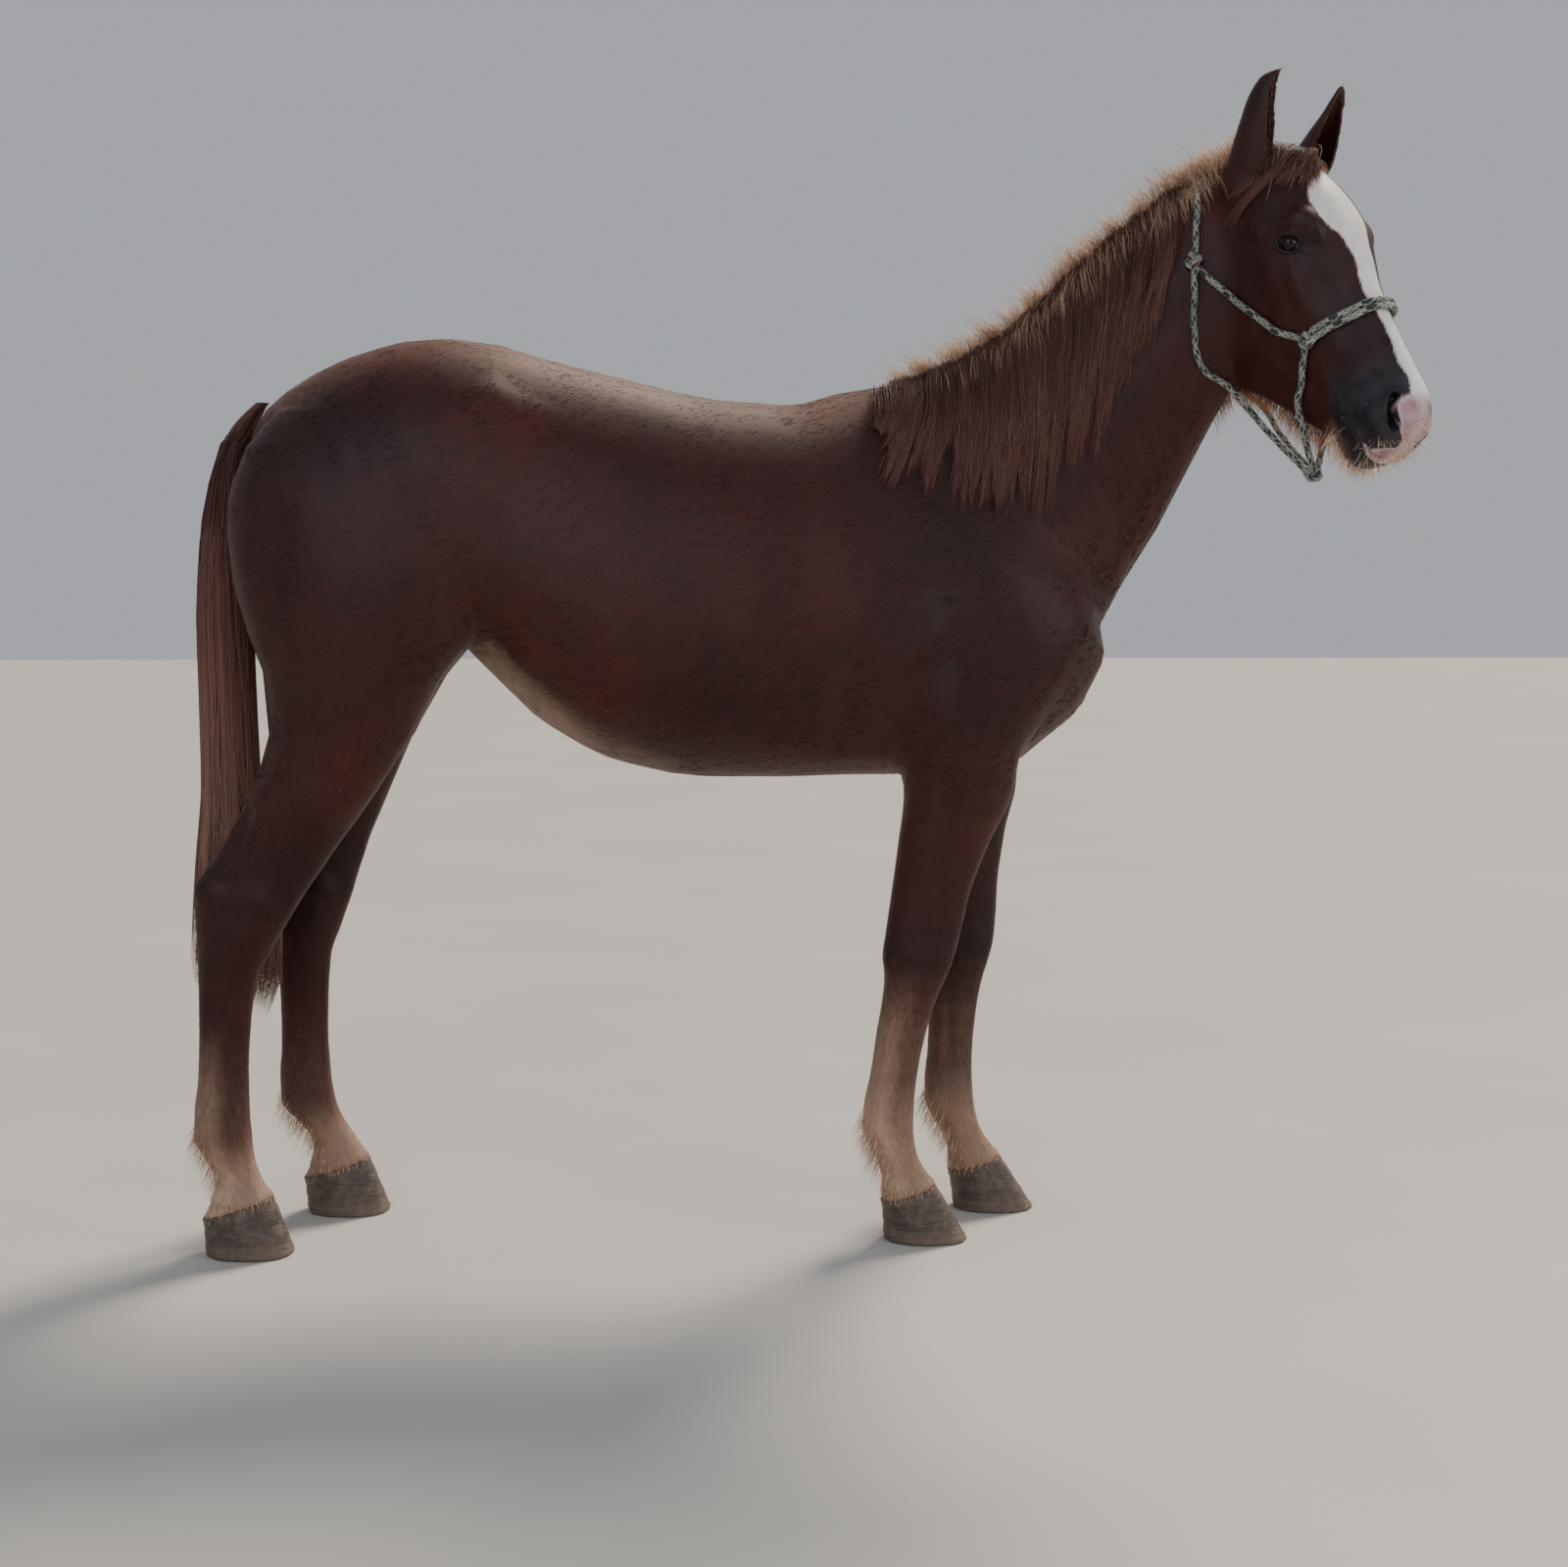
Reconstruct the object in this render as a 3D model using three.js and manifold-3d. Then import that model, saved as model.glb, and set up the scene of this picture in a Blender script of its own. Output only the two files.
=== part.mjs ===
// A young chestnut horse standing square in a rope halter, life size, as a still museum model.
// Units are millimetres, +Z is up, +X is the way the body faces and +Y is its left side.
// The flesh is lofted from a few named profiles, joined into one body and parted with thin cuts.
import * as THREE from "three";
import { mergeVertices } from "three/addons/utils/BufferGeometryUtils.js";
import Module from "manifold-3d";

const wasm = await Module();
wasm.setup();

// Driving sizes.
const COAT = 4; // depth of the short coat over the skin
const GAP = 0.3; // clearance between neighbouring pieces
const TRUNK_SIDES = 22;
const NECK_SIDES = 18;
const HEAD_SIDES = 22;
const LEG_SIDES = 10;

// ---------------------------------------------------------------- profiles

/** Monotone cubic through (xs, ys): smooth, and never past its own points. */
function smoothThrough(xs, ys) {
  const n = xs.length;
  const rise = xs.slice(1).map((x, i) => (ys[i + 1] - ys[i]) / (x - xs[i]));
  const slope = xs.map((_, i) => {
    if (i === 0) return rise[0];
    if (i === n - 1) return rise[n - 2];
    if (rise[i - 1] * rise[i] <= 0) return 0;
    return (2 * rise[i - 1] * rise[i]) / (rise[i - 1] + rise[i]);
  });
  return (x) => {
    if (x <= xs[0]) return ys[0];
    if (x >= xs[n - 1]) return ys[n - 1];
    let i = 0;
    while (x > xs[i + 1]) i++;
    const h = xs[i + 1] - xs[i];
    const t = (x - xs[i]) / h;
    const u = 1 - t;
    return (
      ys[i] * u * u * (1 + 2 * t) +
      ys[i + 1] * t * t * (3 - 2 * t) +
      h * t * u * (slope[i] * u - slope[i + 1] * t)
    );
  };
}

/** Turns rows of [place, size, size, ...] into a function from place to the smoothed sizes. */
function profile(rows) {
  const places = rows.map((row) => row[0]);
  const columns = rows[0].slice(1).map((_, c) =>
    smoothThrough(places, rows.map((row) => row[c + 1])));
  const at = (place) => columns.map((column) => column(place));
  at.first = places[0];
  at.last = places[places.length - 1];
  at.places = places;
  return at;
}

const power = (value, exponent) => Math.sign(value) * Math.abs(value) ** exponent;

// ------------------------------------------------------------ solid helpers

/** A closed loft through rings of equal length, with a fan over each end. */
function loft(rings) {
  const sides = rings[0].length;
  const middle = (ring) =>
    ring.reduce((sum, p) => sum.add(p), new THREE.Vector3()).divideScalar(sides);
  const points = [...rings.flat(), middle(rings[0]), middle(rings[rings.length - 1])];
  const first = rings.length * sides;
  const faces = [];
  for (let r = 0; r + 1 < rings.length; r++) {
    for (let i = 0; i < sides; i++) {
      const j = (i + 1) % sides;
      const [a, b, c, d] = [r * sides + i, r * sides + j, (r + 1) * sides + i, (r + 1) * sides + j];
      faces.push(a, b, d, a, d, c);
    }
  }
  const end = (rings.length - 1) * sides;
  for (let i = 0; i < sides; i++) {
    const j = (i + 1) % sides;
    faces.push(first, j, i, first + 1, end + i, end + j);
  }
  return solidFrom(points.flatMap((p) => [p.x, p.y, p.z]), faces);
}

/** A manifold solid from flat lists of places and triangle corners, turned to face outwards. */
function solidFrom(places, corners) {
  const make = (triVerts) =>
    new wasm.Manifold(new wasm.Mesh({
      numProp: 3,
      vertProperties: new Float32Array(places),
      triVerts: new Uint32Array(triVerts),
    }));
  const made = make(corners);
  if (made.volume() > 0) return made;
  const turned = [];
  for (let i = 0; i < corners.length; i += 3) {
    turned.push(corners[i], corners[i + 2], corners[i + 1]);
  }
  return make(turned);
}

/** A manifold solid from a closed three.js geometry. */
function solidOf(geometry) {
  const bare = new THREE.BufferGeometry();
  bare.setAttribute("position", geometry.getAttribute("position"));
  bare.setIndex(geometry.getIndex());
  const merged = mergeVertices(bare, 1e-3);
  return solidFrom(merged.getAttribute("position").array, merged.getIndex().array);
}

/** A three.js geometry from a manifold solid. */
function geometryOf(solid) {
  const mesh = solid.getMesh();
  const places = new Float32Array(mesh.numVert * 3);
  for (let i = 0; i < mesh.numVert; i++) {
    places.set(mesh.vertProperties.subarray(i * mesh.numProp, i * mesh.numProp + 3), i * 3);
  }
  const geometry = new THREE.BufferGeometry();
  geometry.setAttribute("position", new THREE.BufferAttribute(places, 3));
  geometry.setIndex(new THREE.BufferAttribute(mesh.triVerts, 1));
  geometry.computeVertexNormals();
  return geometry;
}

const joined = (solids) => solids.reduce((all, next) => all.add(next));

/** The largest of a solid's separate bodies: cutting can leave crumbs. */
const mainBody = (solid) => solid.decompose().reduce((a, b) => (a.volume() > b.volume() ? a : b));

// -------------------------------------------------------------------- trunk

// Along the body from buttock to breast: top line, under line, half width, height of the widest
// place, and how square the section is above and below that height (2 is an ellipse).
const trunk = profile([
  [-866, 1290, 1150, 40, 1215, 2.0, 2.0],
  [-856, 1326, 1095, 78, 1210, 2.0, 2.0],
  [-828, 1368, 1040, 122, 1200, 2.0, 2.0],
  [-765, 1412, 1004, 172, 1195, 2.1, 2.0],
  [-680, 1450, 985, 208, 1200, 2.2, 2.0],
  [-600, 1470, 1000, 226, 1215, 2.2, 2.0],
  [-545, 1474, 992, 230, 1215, 2.1, 2.0],
  [-470, 1466, 926, 230, 1190, 2.0, 2.0],
  [-385, 1443, 848, 236, 1120, 2.0, 2.1],
  [-255, 1411, 786, 244, 1060, 2.0, 2.2],
  [-120, 1381, 765, 244, 1040, 2.0, 2.2],
  [0, 1372, 764, 236, 1040, 1.9, 2.2],
  [95, 1392, 767, 218, 1040, 1.7, 2.2],
  [190, 1404, 768, 200, 1030, 1.6, 2.1],
  [290, 1392, 770, 190, 1020, 1.7, 2.1],
  [370, 1330, 782, 180, 1010, 1.9, 2.0],
  [440, 1235, 832, 160, 1005, 2.0, 2.0],
  [488, 1130, 874, 122, 995, 2.0, 2.0],
  [510, 1050, 918, 70, 985, 2.0, 2.0],
]);

function trunkRing(x, grow) {
  const [top, bottom, half, widest, above, below] = trunk(x);
  return Array.from({ length: TRUNK_SIDES }, (_, i) => {
    const turn = (2 * Math.PI * i) / TRUNK_SIDES;
    const [c, s] = [Math.cos(turn), Math.sin(turn)];
    const roundness = 2 / (s > 0 ? above : below);
    const reach = s > 0 ? top + grow - widest : widest - bottom + grow;
    return new THREE.Vector3(x, (half + grow) * power(c, roundness), widest + reach * power(s, roundness));
  });
}

function trunkSolid(grow) {
  const rings = trunk.places.map((x) => trunkRing(x, grow));
  const tail = trunkRing(trunk.first, grow * 0.6);
  const breast = trunkRing(trunk.last, grow * 0.6);
  tail.forEach((p) => p.setX(p.x - grow));
  breast.forEach((p) => p.setX(p.x + grow));
  return loft([tail, ...rings.slice(1, -1), breast]);
}

// --------------------------------------------------------------------- neck

// Along the neck, by share of its length: the crest's x and z, the throat line's x and z, how far
// the neck has swung to the right, half width, and how square the section is above.
const neck = profile([
  [0.0, 150, 1335, 330, 900, 0, 120, 2.0],
  [0.14, 215, 1400, 455, 940, 0, 140, 1.9],
  [0.28, 290, 1436, 522, 1010, 4, 128, 1.8],
  [0.42, 365, 1480, 569, 1098, 14, 108, 1.7],
  [0.56, 436, 1543, 610, 1171, 32, 90, 1.7],
  [0.7, 512, 1613, 645, 1248, 54, 77, 1.7],
  [0.84, 596, 1678, 684, 1336, 82, 68, 1.8],
  [1.0, 682, 1732, 738, 1440, 112, 60, 1.9],
]);
const NECK_WIDEST = 0.42; // share of the section's depth, from the throat line
const NECK_STEPS = 14;

function neckRing(share, grow) {
  const [crestX, crestZ, throatX, throatZ, swing, half, above] = neck(share);
  const step = 0.02;
  const [before, after] = [neck(share - step), neck(share + step)];
  const heading = new THREE.Vector3(after[0] + after[2] - before[0] - before[2], 2 * (before[4] - after[4]), 0);
  const side = new THREE.Vector3(-heading.y, heading.x, 0).normalize();
  const crest = new THREE.Vector3(crestX, -swing, crestZ);
  const throat = new THREE.Vector3(throatX, -swing, throatZ);
  const up = crest.clone().sub(throat);
  const depth = up.length();
  up.normalize();
  const middle = throat.clone().addScaledVector(up, depth * NECK_WIDEST);
  return Array.from({ length: NECK_SIDES }, (_, i) => {
    const turn = (2 * Math.PI * i) / NECK_SIDES;
    const [c, s] = [Math.cos(turn), Math.sin(turn)];
    const roundness = 2 / (s > 0 ? above : 2);
    const reach = (s > 0 ? depth * (1 - NECK_WIDEST) : depth * NECK_WIDEST) + grow;
    return middle.clone()
      .addScaledVector(side, (half + grow) * power(c, roundness))
      .addScaledVector(up, reach * power(s, roundness));
  });
}

function neckSolid(grow) {
  const rings = [];
  for (let i = 0; i <= NECK_STEPS; i++) rings.push(neckRing(i / NECK_STEPS, grow));
  return loft(rings);
}

// --------------------------------------------------------------------- head

// The head has its own axes: x runs down the face from the poll, y is its left and z stands out of
// the forehead. It is carried at this place and turned to the right, towards the onlooker.
const POLL = new THREE.Vector3(797, -180, 1758);
const HEAD_YAW = THREE.MathUtils.degToRad(52);
const HEAD_PITCH = THREE.MathUtils.degToRad(61);
const toHead = new THREE.Matrix4().makeBasis(
  new THREE.Vector3(
    Math.cos(HEAD_PITCH) * Math.cos(HEAD_YAW),
    -Math.cos(HEAD_PITCH) * Math.sin(HEAD_YAW),
    -Math.sin(HEAD_PITCH)),
  new THREE.Vector3(Math.sin(HEAD_YAW), Math.cos(HEAD_YAW), 0),
  new THREE.Vector3(
    Math.sin(HEAD_PITCH) * Math.cos(HEAD_YAW),
    -Math.sin(HEAD_PITCH) * Math.sin(HEAD_YAW),
    Math.cos(HEAD_PITCH)),
).setPosition(POLL);
const inHead = (x, y, z) => new THREE.Vector3(x, y, z).applyMatrix4(toHead);

// Down the face: front line, jaw line, and half widths at five depths from the front to the jaw.
const head = profile([
  [-30, -48, -150, 34, 52, 58, 52, 36],
  [10, -14, -180, 48, 64, 70, 62, 40],
  [60, 6, -218, 62, 80, 78, 66, 42],
  [115, 18, -256, 84, 95, 82, 68, 42],
  [165, 21, -286, 88, 100, 82, 68, 42],
  [215, 14, -298, 72, 88, 76, 66, 40],
  [261, 6, -280, 56, 72, 68, 60, 37],
  [302, 3, -242, 47, 62, 60, 52, 34],
  [345, 2, -212, 42, 54, 52, 44, 31],
  [392, 2, -184, 41, 50, 48, 39, 29],
  [430, 2, -160, 44, 52, 49, 38, 29],
  [462, -2, -150, 47, 56, 50, 40, 31],
  [486, -13, -148, 45, 54, 49, 39, 31],
  [502, -36, -134, 37, 45, 42, 33, 26],
  [511, -62, -110, 22, 29, 28, 23, 17],
]);
const HEAD_DEPTHS = [0.05, 0.28, 0.52, 0.76, 0.95];
const HEAD_ROUNDNESS = 0.62;

function headRing(x, grow) {
  const [front, jaw, ...widths] = head(x);
  const widthAt = smoothThrough(HEAD_DEPTHS, widths);
  return Array.from({ length: HEAD_SIDES }, (_, i) => {
    const turn = (2 * Math.PI * i) / HEAD_SIDES;
    const [c, s] = [Math.cos(turn), Math.sin(turn)];
    const share = (1 - power(s, 0.9)) / 2;
    const z = front + grow + (jaw - front - 2 * grow) * share;
    return inHead(x, (widthAt(share) + grow) * power(c, HEAD_ROUNDNESS), z);
  });
}

function headSolid(grow) {
  const rings = head.places.map((x) => headRing(x, grow));
  const along = new THREE.Vector3().setFromMatrixColumn(toHead, 0);
  rings[0].forEach((p) => p.addScaledVector(along, -grow));
  rings[rings.length - 1].forEach((p) => p.addScaledVector(along, grow));
  return loft(rings);
}

// --------------------------------------------------------------------- legs

// Up each leg: back line, front line, distance of its middle from the body's middle, half width,
// and how much the section tips forward towards the coronet.
const hindLeg = profile([
  [78, -946, -835, 113, 42, 0.3],
  [98, -932, -845, 113, 36, 0.25],
  [130, -926, -856, 114, 31, 0.1],
  [160, -940, -863, 115, 34, 0],
  [195, -956, -866, 115, 37, 0],
  [235, -955, -868, 115, 32, 0],
  [290, -948, -868, 115, 27, 0],
  [380, -944, -862, 115, 26, 0],
  [450, -943, -850, 115, 30, 0],
  [500, -943, -824, 115, 38, 0],
  [545, -945, -798, 116, 43, 0],
  [590, -946, -770, 118, 43, 0],
  [618, -934, -750, 119, 41, 0],
  [660, -903, -721, 121, 44, 0],
  [720, -868, -676, 125, 52, 0],
  [790, -834, -628, 128, 63, 0],
  [860, -818, -584, 130, 77, 0],
  [930, -822, -548, 131, 93, 0],
  [1010, -848, -492, 130, 108, 0],
  [1100, -870, -468, 127, 117, 0],
  [1190, -876, -490, 120, 116, 0],
  [1280, -852, -545, 108, 100, 0],
  [1350, -800, -600, 95, 70, 0],
]);
const foreLeg = profile([
  [80, 158, 246, 85, 41, 0.3],
  [100, 160, 234, 85, 34, 0.25],
  [125, 154, 222, 85, 31, 0.1],
  [152, 140, 214, 85, 33, 0],
  [188, 126, 210, 85, 37, 0],
  [225, 128, 211, 85, 33, 0],
  [275, 138, 216, 85, 27, 0],
  [350, 149, 231, 85, 27, 0],
  [405, 158, 248, 85, 33, 0],
  [440, 161, 263, 85, 41, 0],
  [475, 158, 276, 85, 41, 0],
  [515, 163, 286, 86, 38, 0],
  [580, 172, 301, 87, 40, 0],
  [660, 182, 330, 91, 48, 0],
  [740, 190, 366, 97, 58, 0],
  [810, 182, 378, 105, 70, 0],
  [880, 160, 422, 112, 80, 0],
  [970, 130, 474, 115, 82, 0],
  [1070, 105, 452, 110, 80, 0],
  [1180, 110, 370, 95, 70, 0],
  [1270, 130, 300, 75, 50, 0],
]);

// How far each left leg stands ahead of its right fellow, by height.
const hindLead = profile([
  [0, 122],
  [110, 118],
  [200, 93],
  [430, 79],
  [540, 60],
  [660, 20],
  [760, -10],
  [850, -26],
  [960, -18],
  [1250, 0],
]);
const foreLead = profile([
  [0, 138],
  [100, 132],
  [188, 124],
  [460, 92],
  [600, 68],
  [740, 38],
  [810, 30],
  [900, 12],
  [1100, 0],
]);

/** side is -1 on the right and 1 on the left. */
function legRing(at, lead, side, z, grow) {
  const [back, front, out, half, tip] = at(z);
  const shift = side > 0 ? lead(z)[0] : 0;
  const middle = (back + front) / 2 + shift;
  return Array.from({ length: LEG_SIDES }, (_, i) => {
    const turn = (2 * Math.PI * i) / LEG_SIDES;
    const along = ((front - back) / 2 + grow) * power(Math.cos(turn), 0.92);
    const across = (half + grow) * power(Math.sin(turn), 0.92);
    return new THREE.Vector3(middle + along, side * out + across, z + tip * along);
  });
}

function legSolid(at, lead, side, grow) {
  return loft(at.places.map((z) => legRing(at, lead, side, z, grow)));
}

// ------------------------------------------------------------------- hooves

// How far the toe slopes forward from coronet to ground, behind and in front.
const HIND_TOE_RUN = 32;
const FORE_TOE_RUN = 54;
const HEEL_RUN = 4;
const HOOF_FLARE = 11; // how much wider the hoof is at the ground on each side

function hoofSolid(at, lead, side, toeRun) {
  const z = at.first;
  const top = legRing(at, lead, side, z, 1).map((p) => p.setZ(p.z - GAP));
  const [back, front, out, half] = at(z);
  const foot = side > 0 ? lead(0)[0] : 0;
  const heel = back + foot + HEEL_RUN;
  const toe = front + foot + toeRun;
  const ground = Array.from({ length: LEG_SIDES }, (_, i) => {
    const turn = (2 * Math.PI * i) / LEG_SIDES;
    const c = power(Math.cos(turn), 0.8);
    const wide = (half + HOOF_FLARE) * (1 - 0.14 * Math.max(0, -c));
    return new THREE.Vector3((heel + toe) / 2 + ((toe - heel) / 2) * c, side * out + wide * power(Math.sin(turn), 0.85), 0);
  });
  const low = ground.map((p) => p.clone().setZ(6));
  return loft([ground, low, top]);
}

// ---------------------------------------------------------- fetlock feather

// Down the tuft behind each fetlock: how far it stands out behind the leg and its half width.
const feather = profile([
  [118, 0.55, 7],
  [134, 1.0, 13],
  [155, 0.95, 17],
  [185, 0.55, 17],
  [214, 0.12, 10],
]);
const FEATHER_SIDES = 8;

function featherSolid(at, lead, side, reach) {
  return loft(feather.places.map((z) => {
    const [back, , out] = at(z);
    const [share, half] = feather(z);
    const root = back + (side > 0 ? lead(z)[0] : 0) + 14;
    const tip = back + (side > 0 ? lead(z)[0] : 0) - reach * share;
    return Array.from({ length: FEATHER_SIDES }, (_, i) => {
      const turn = (2 * Math.PI * i) / FEATHER_SIDES;
      return new THREE.Vector3(
        (root + tip) / 2 + ((root - tip) / 2) * Math.cos(turn),
        side * out + half * Math.sin(turn),
        z + 0.35 * (tip - root) * (1 - Math.cos(turn)) / 2);
    });
  }));
}
const HIND_FEATHER = 34;
const FORE_FEATHER = 26;

// -------------------------------------------------------------------- beard

// Back along the jaw: height of the long hairs' tips below the jaw line and their half width.
const beard = profile([
  [250, 8, 12],
  [320, 26, 13],
  [400, 26, 13],
  [440, 20, 14],
  [480, 24, 16],
  [497, 12, 10],
]);
const BEARD_SIDES = 8;

function beardSolid() {
  return loft(beard.places.map((x) => {
    const [drop, half] = beard(x);
    const jaw = head(x)[1];
    return Array.from({ length: BEARD_SIDES }, (_, i) => {
      const turn = (2 * Math.PI * i) / BEARD_SIDES;
      const down = (1 - Math.sin(turn)) / 2;
      return inHead(x, half * (1 - 0.6 * down) * Math.cos(turn), jaw + 14 - (drop + 14) * down);
    });
  }));
}

// The bony arch over each eye, as a lens-shaped swelling of the head.
const BROW = { x: 150, y: 60, z: -22 };
const BROW_SIZE = new THREE.Vector3(40, 34, 27);

function browSolid(side, grow) {
  const swell = new THREE.SphereGeometry(1, 12, 8);
  swell.scale(BROW_SIZE.x + grow, BROW_SIZE.y + grow, BROW_SIZE.z + grow);
  swell.translate(BROW.x, side * BROW.y, BROW.z);
  return solidOf(swell.applyMatrix4(toHead));
}

// --------------------------------------------------------------------- eyes

const EYE_RADIUS = 20;
const EYE = { x: 158, y: 78, z: -51 };

function eyeSolid(side, grow) {
  const ball = new THREE.SphereGeometry(EYE_RADIUS + grow, 10, 8);
  ball.applyMatrix4(new THREE.Matrix4().makeTranslation(inHead(EYE.x, side * EYE.y, EYE.z)));
  return solidOf(ball);
}

// --------------------------------------------------------------------- ears

// An ear is a curved leaf, open in front: up its length, half width, half opening of the curl in
// degrees measured from the back, and how far the middle line bows forwards.
const ears = {
  [-1]: profile([
    [0.0, 26, 168, 0],
    [0.12, 29, 150, 0],
    [0.3, 30, 136, -1],
    [0.5, 28, 124, -5],
    [0.7, 24, 112, -10],
    [0.86, 18, 102, -11],
    [0.96, 8, 94, -6],
    [1.0, 2, 90, 0],
  ]),
  1: profile([
    [0.0, 26, 168, 0],
    [0.12, 30, 150, 2],
    [0.3, 31, 136, 5],
    [0.5, 26, 124, 9],
    [0.7, 18, 112, 11],
    [0.86, 12, 102, 9],
    [0.96, 7, 94, 5],
    [1.0, 2, 90, 1],
  ]),
};
const EAR_FOOT = { x: 22, y: 70, z: -80 };
const EAR_TIPS = { [-1]: { x: -80, y: 73, z: 62 }, 1: { x: -82, y: 78, z: 62 } };
const EAR_DEEP = 1.25; // how much deeper the curl is than it is wide
const EAR_THICKNESS = 4.5;
const EAR_SIDES = 6; // steps along the curl of the leaf
const EAR_ROOT_SIDES = 10;

/** The ear as a leaf, or with `filled` as the whole space its curl takes up. */
function earSolid(side, grow, filled = false) {
  const foot = inHead(EAR_FOOT.x, side * EAR_FOOT.y, EAR_FOOT.z);
  const tip = inHead(EAR_TIPS[side].x, side * EAR_TIPS[side].y, EAR_TIPS[side].z);
  const along = tip.clone().sub(foot);
  const length = along.length();
  along.normalize();
  const openWay = inHead(1, side * -0.45, 0.2).sub(inHead(0, 0, 0));
  openWay.addScaledVector(along, -openWay.dot(along)).normalize();
  const across = along.clone().cross(openWay);
  return loft(ears[side].places.map((share) => {
    const [half, curl, bow] = ears[side](share);
    const middle = foot.clone().addScaledVector(along, share * length + (share === 1 ? grow : 0))
      .addScaledVector(openWay, bow);
    const outside = half + grow;
    const inside = Math.max(half * 0.25, half - EAR_THICKNESS);
    const at = (radius, degrees) => {
      const turn = THREE.MathUtils.degToRad(degrees);
      return middle.clone()
        .addScaledVector(openWay, -radius * EAR_DEEP * Math.cos(turn))
        .addScaledVector(across, radius * Math.sin(turn));
    };
    const spread = Array.from({ length: EAR_SIDES + 1 }, (_, i) => curl * ((2 * i) / EAR_SIDES - 1));
    const back = spread.map((degrees) => at(outside, degrees));
    const front = filled
      ? spread.map((degrees) => at(outside, 180 - (180 - curl) * (degrees / curl) * 0.9))
      : spread.reverse().map((degrees) => at(inside, degrees * 0.97));
    return filled ? back : [...back, ...front];
  }));
}

// The fleshy root that the ear stands in: up the ear's length, half width and how far it lies in
// towards the middle of the head.
const earRoot = profile([
  [-0.42, 20, 30],
  [-0.25, 33, 16],
  [-0.08, 33, 5],
  [0.08, 27, 0],
  [0.16, 14, 2],
]);

function earRootSolid(side, grow) {
  const foot = inHead(EAR_FOOT.x, side * EAR_FOOT.y, EAR_FOOT.z);
  const tip = inHead(EAR_TIPS[side].x, side * EAR_TIPS[side].y, EAR_TIPS[side].z);
  const along = tip.clone().sub(foot);
  const length = along.length();
  along.normalize();
  const inwards = inHead(0, -side, 0).sub(inHead(0, 0, 0));
  inwards.addScaledVector(along, -inwards.dot(along)).normalize();
  const across = along.clone().cross(inwards);
  return loft(earRoot.places.map((share) => {
    const [half, inset] = earRoot(share);
    const middle = foot.clone().addScaledVector(along, share * length).addScaledVector(inwards, inset);
    return Array.from({ length: EAR_ROOT_SIDES }, (_, i) => {
      const turn = (2 * Math.PI * i) / EAR_ROOT_SIDES;
      return middle.clone()
        .addScaledVector(inwards, (half + grow) * Math.cos(turn))
        .addScaledVector(across, (half + grow) * Math.sin(turn));
    });
  }));
}

// --------------------------------------------------------------------- tail

// Down the tail from dock to tips: back line, front line, half width.
const tail = profile([
  [352, -930, -868, 14],
  [392, -968, -842, 30],
  [450, -984, -832, 42],
  [540, -979, -832, 52],
  [640, -970, -850, 56],
  [760, -957, -862, 56],
  [890, -957, -866, 55],
  [1010, -958, -868, 53],
  [1135, -950, -872, 49],
  [1245, -936, -870, 42],
  [1305, -921, -862, 35],
  [1340, -897, -850, 29],
  [1372, -862, -826, 22],
]);
const TAIL_SIDES = 14;

function tailSolid() {
  return loft(tail.places.map((z) => {
    const [back, front, half] = tail(z);
    return Array.from({ length: TAIL_SIDES }, (_, i) => {
      const turn = (2 * Math.PI * i) / TAIL_SIDES;
      return new THREE.Vector3(
        (front + back) / 2 + ((front - back) / 2) * Math.cos(turn), half * Math.sin(turn), z);
    });
  }));
}

// --------------------------------------------------------- mane and forelock

/** A flat outline stood up into a slab between two places on the axis left over. */
function slab(outline, from, to, turned) {
  const shape = new THREE.Shape(outline.map(([a, b]) => new THREE.Vector2(a, b)));
  const block = new THREE.ExtrudeGeometry(shape, { depth: to - from, bevelEnabled: false, steps: 1 });
  block.translate(0, 0, from);
  block.applyMatrix4(turned);
  return solidOf(block);
}
// Takes the outline's own axes to x, z, and its thickness towards the right.
const sideOn = new THREE.Matrix4().makeRotationX(Math.PI / 2);

// The hem of the mane from the withers forward and up to the poll, by x and z.
const maneHem = new THREE.SplineCurve([
  [84, 1372], [112, 1296], [142, 1240], [208, 1212], [305, 1170], [401, 1162], [450, 1210],
  [498, 1262], [530, 1345], [552, 1465], [580, 1560], [610, 1640], [640, 1735],
].map(([x, z]) => new THREE.Vector2(x, z)));
const MANE_LOCKS = 14;
const MANE_NOTCH = 42; // how far up the gaps between two lock tips reach
const MANE_DEPTH = 22; // of the hair over the coat
const CREST_HAIR = 34; // of the short upright hair on the crest

function maneSolid() {
  const hem = [];
  for (let i = 0; i <= 2 * MANE_LOCKS; i++) {
    const p = maneHem.getPointAt(i / (2 * MANE_LOCKS));
    hem.push([p.x, p.y + (i % 2 ? MANE_NOTCH : 0)]);
  }
  const side = slab([...hem, [700, 1900], [60, 1900]], 0, 420, sideOn);
  const hair = neckSolid(COAT + MANE_DEPTH).add(trunkSolid(COAT + MANE_DEPTH));
  const hanging = hair.intersect(side);
  const crest = loft(Array.from({ length: 13 }, (_, k) => {
    const share = -0.01 + k / 12;
    const [x, z, , , swing] = neck(share);
    const tall = CREST_HAIR * Math.min(1, 0.45 + k * 0.14) * (1 + 0.5 * Math.max(0, share - 0.6));
    const lean = neck(Math.min(1, share + 0.03));
    const upX = -(lean[1] - z);
    const upZ = lean[0] - x;
    const size = Math.hypot(upX, upZ);
    return Array.from({ length: 8 }, (_, i) => {
      const turn = (2 * Math.PI * i) / 8;
      const rise = Math.sin(turn) > 0 ? tall * Math.sin(turn) : 30 * Math.sin(turn);
      return new THREE.Vector3(
        x + (rise * upX) / size, -swing + 24 * Math.cos(turn), z + (rise * upZ) / size);
    });
  }));
  return hanging.add(crest);
}

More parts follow.
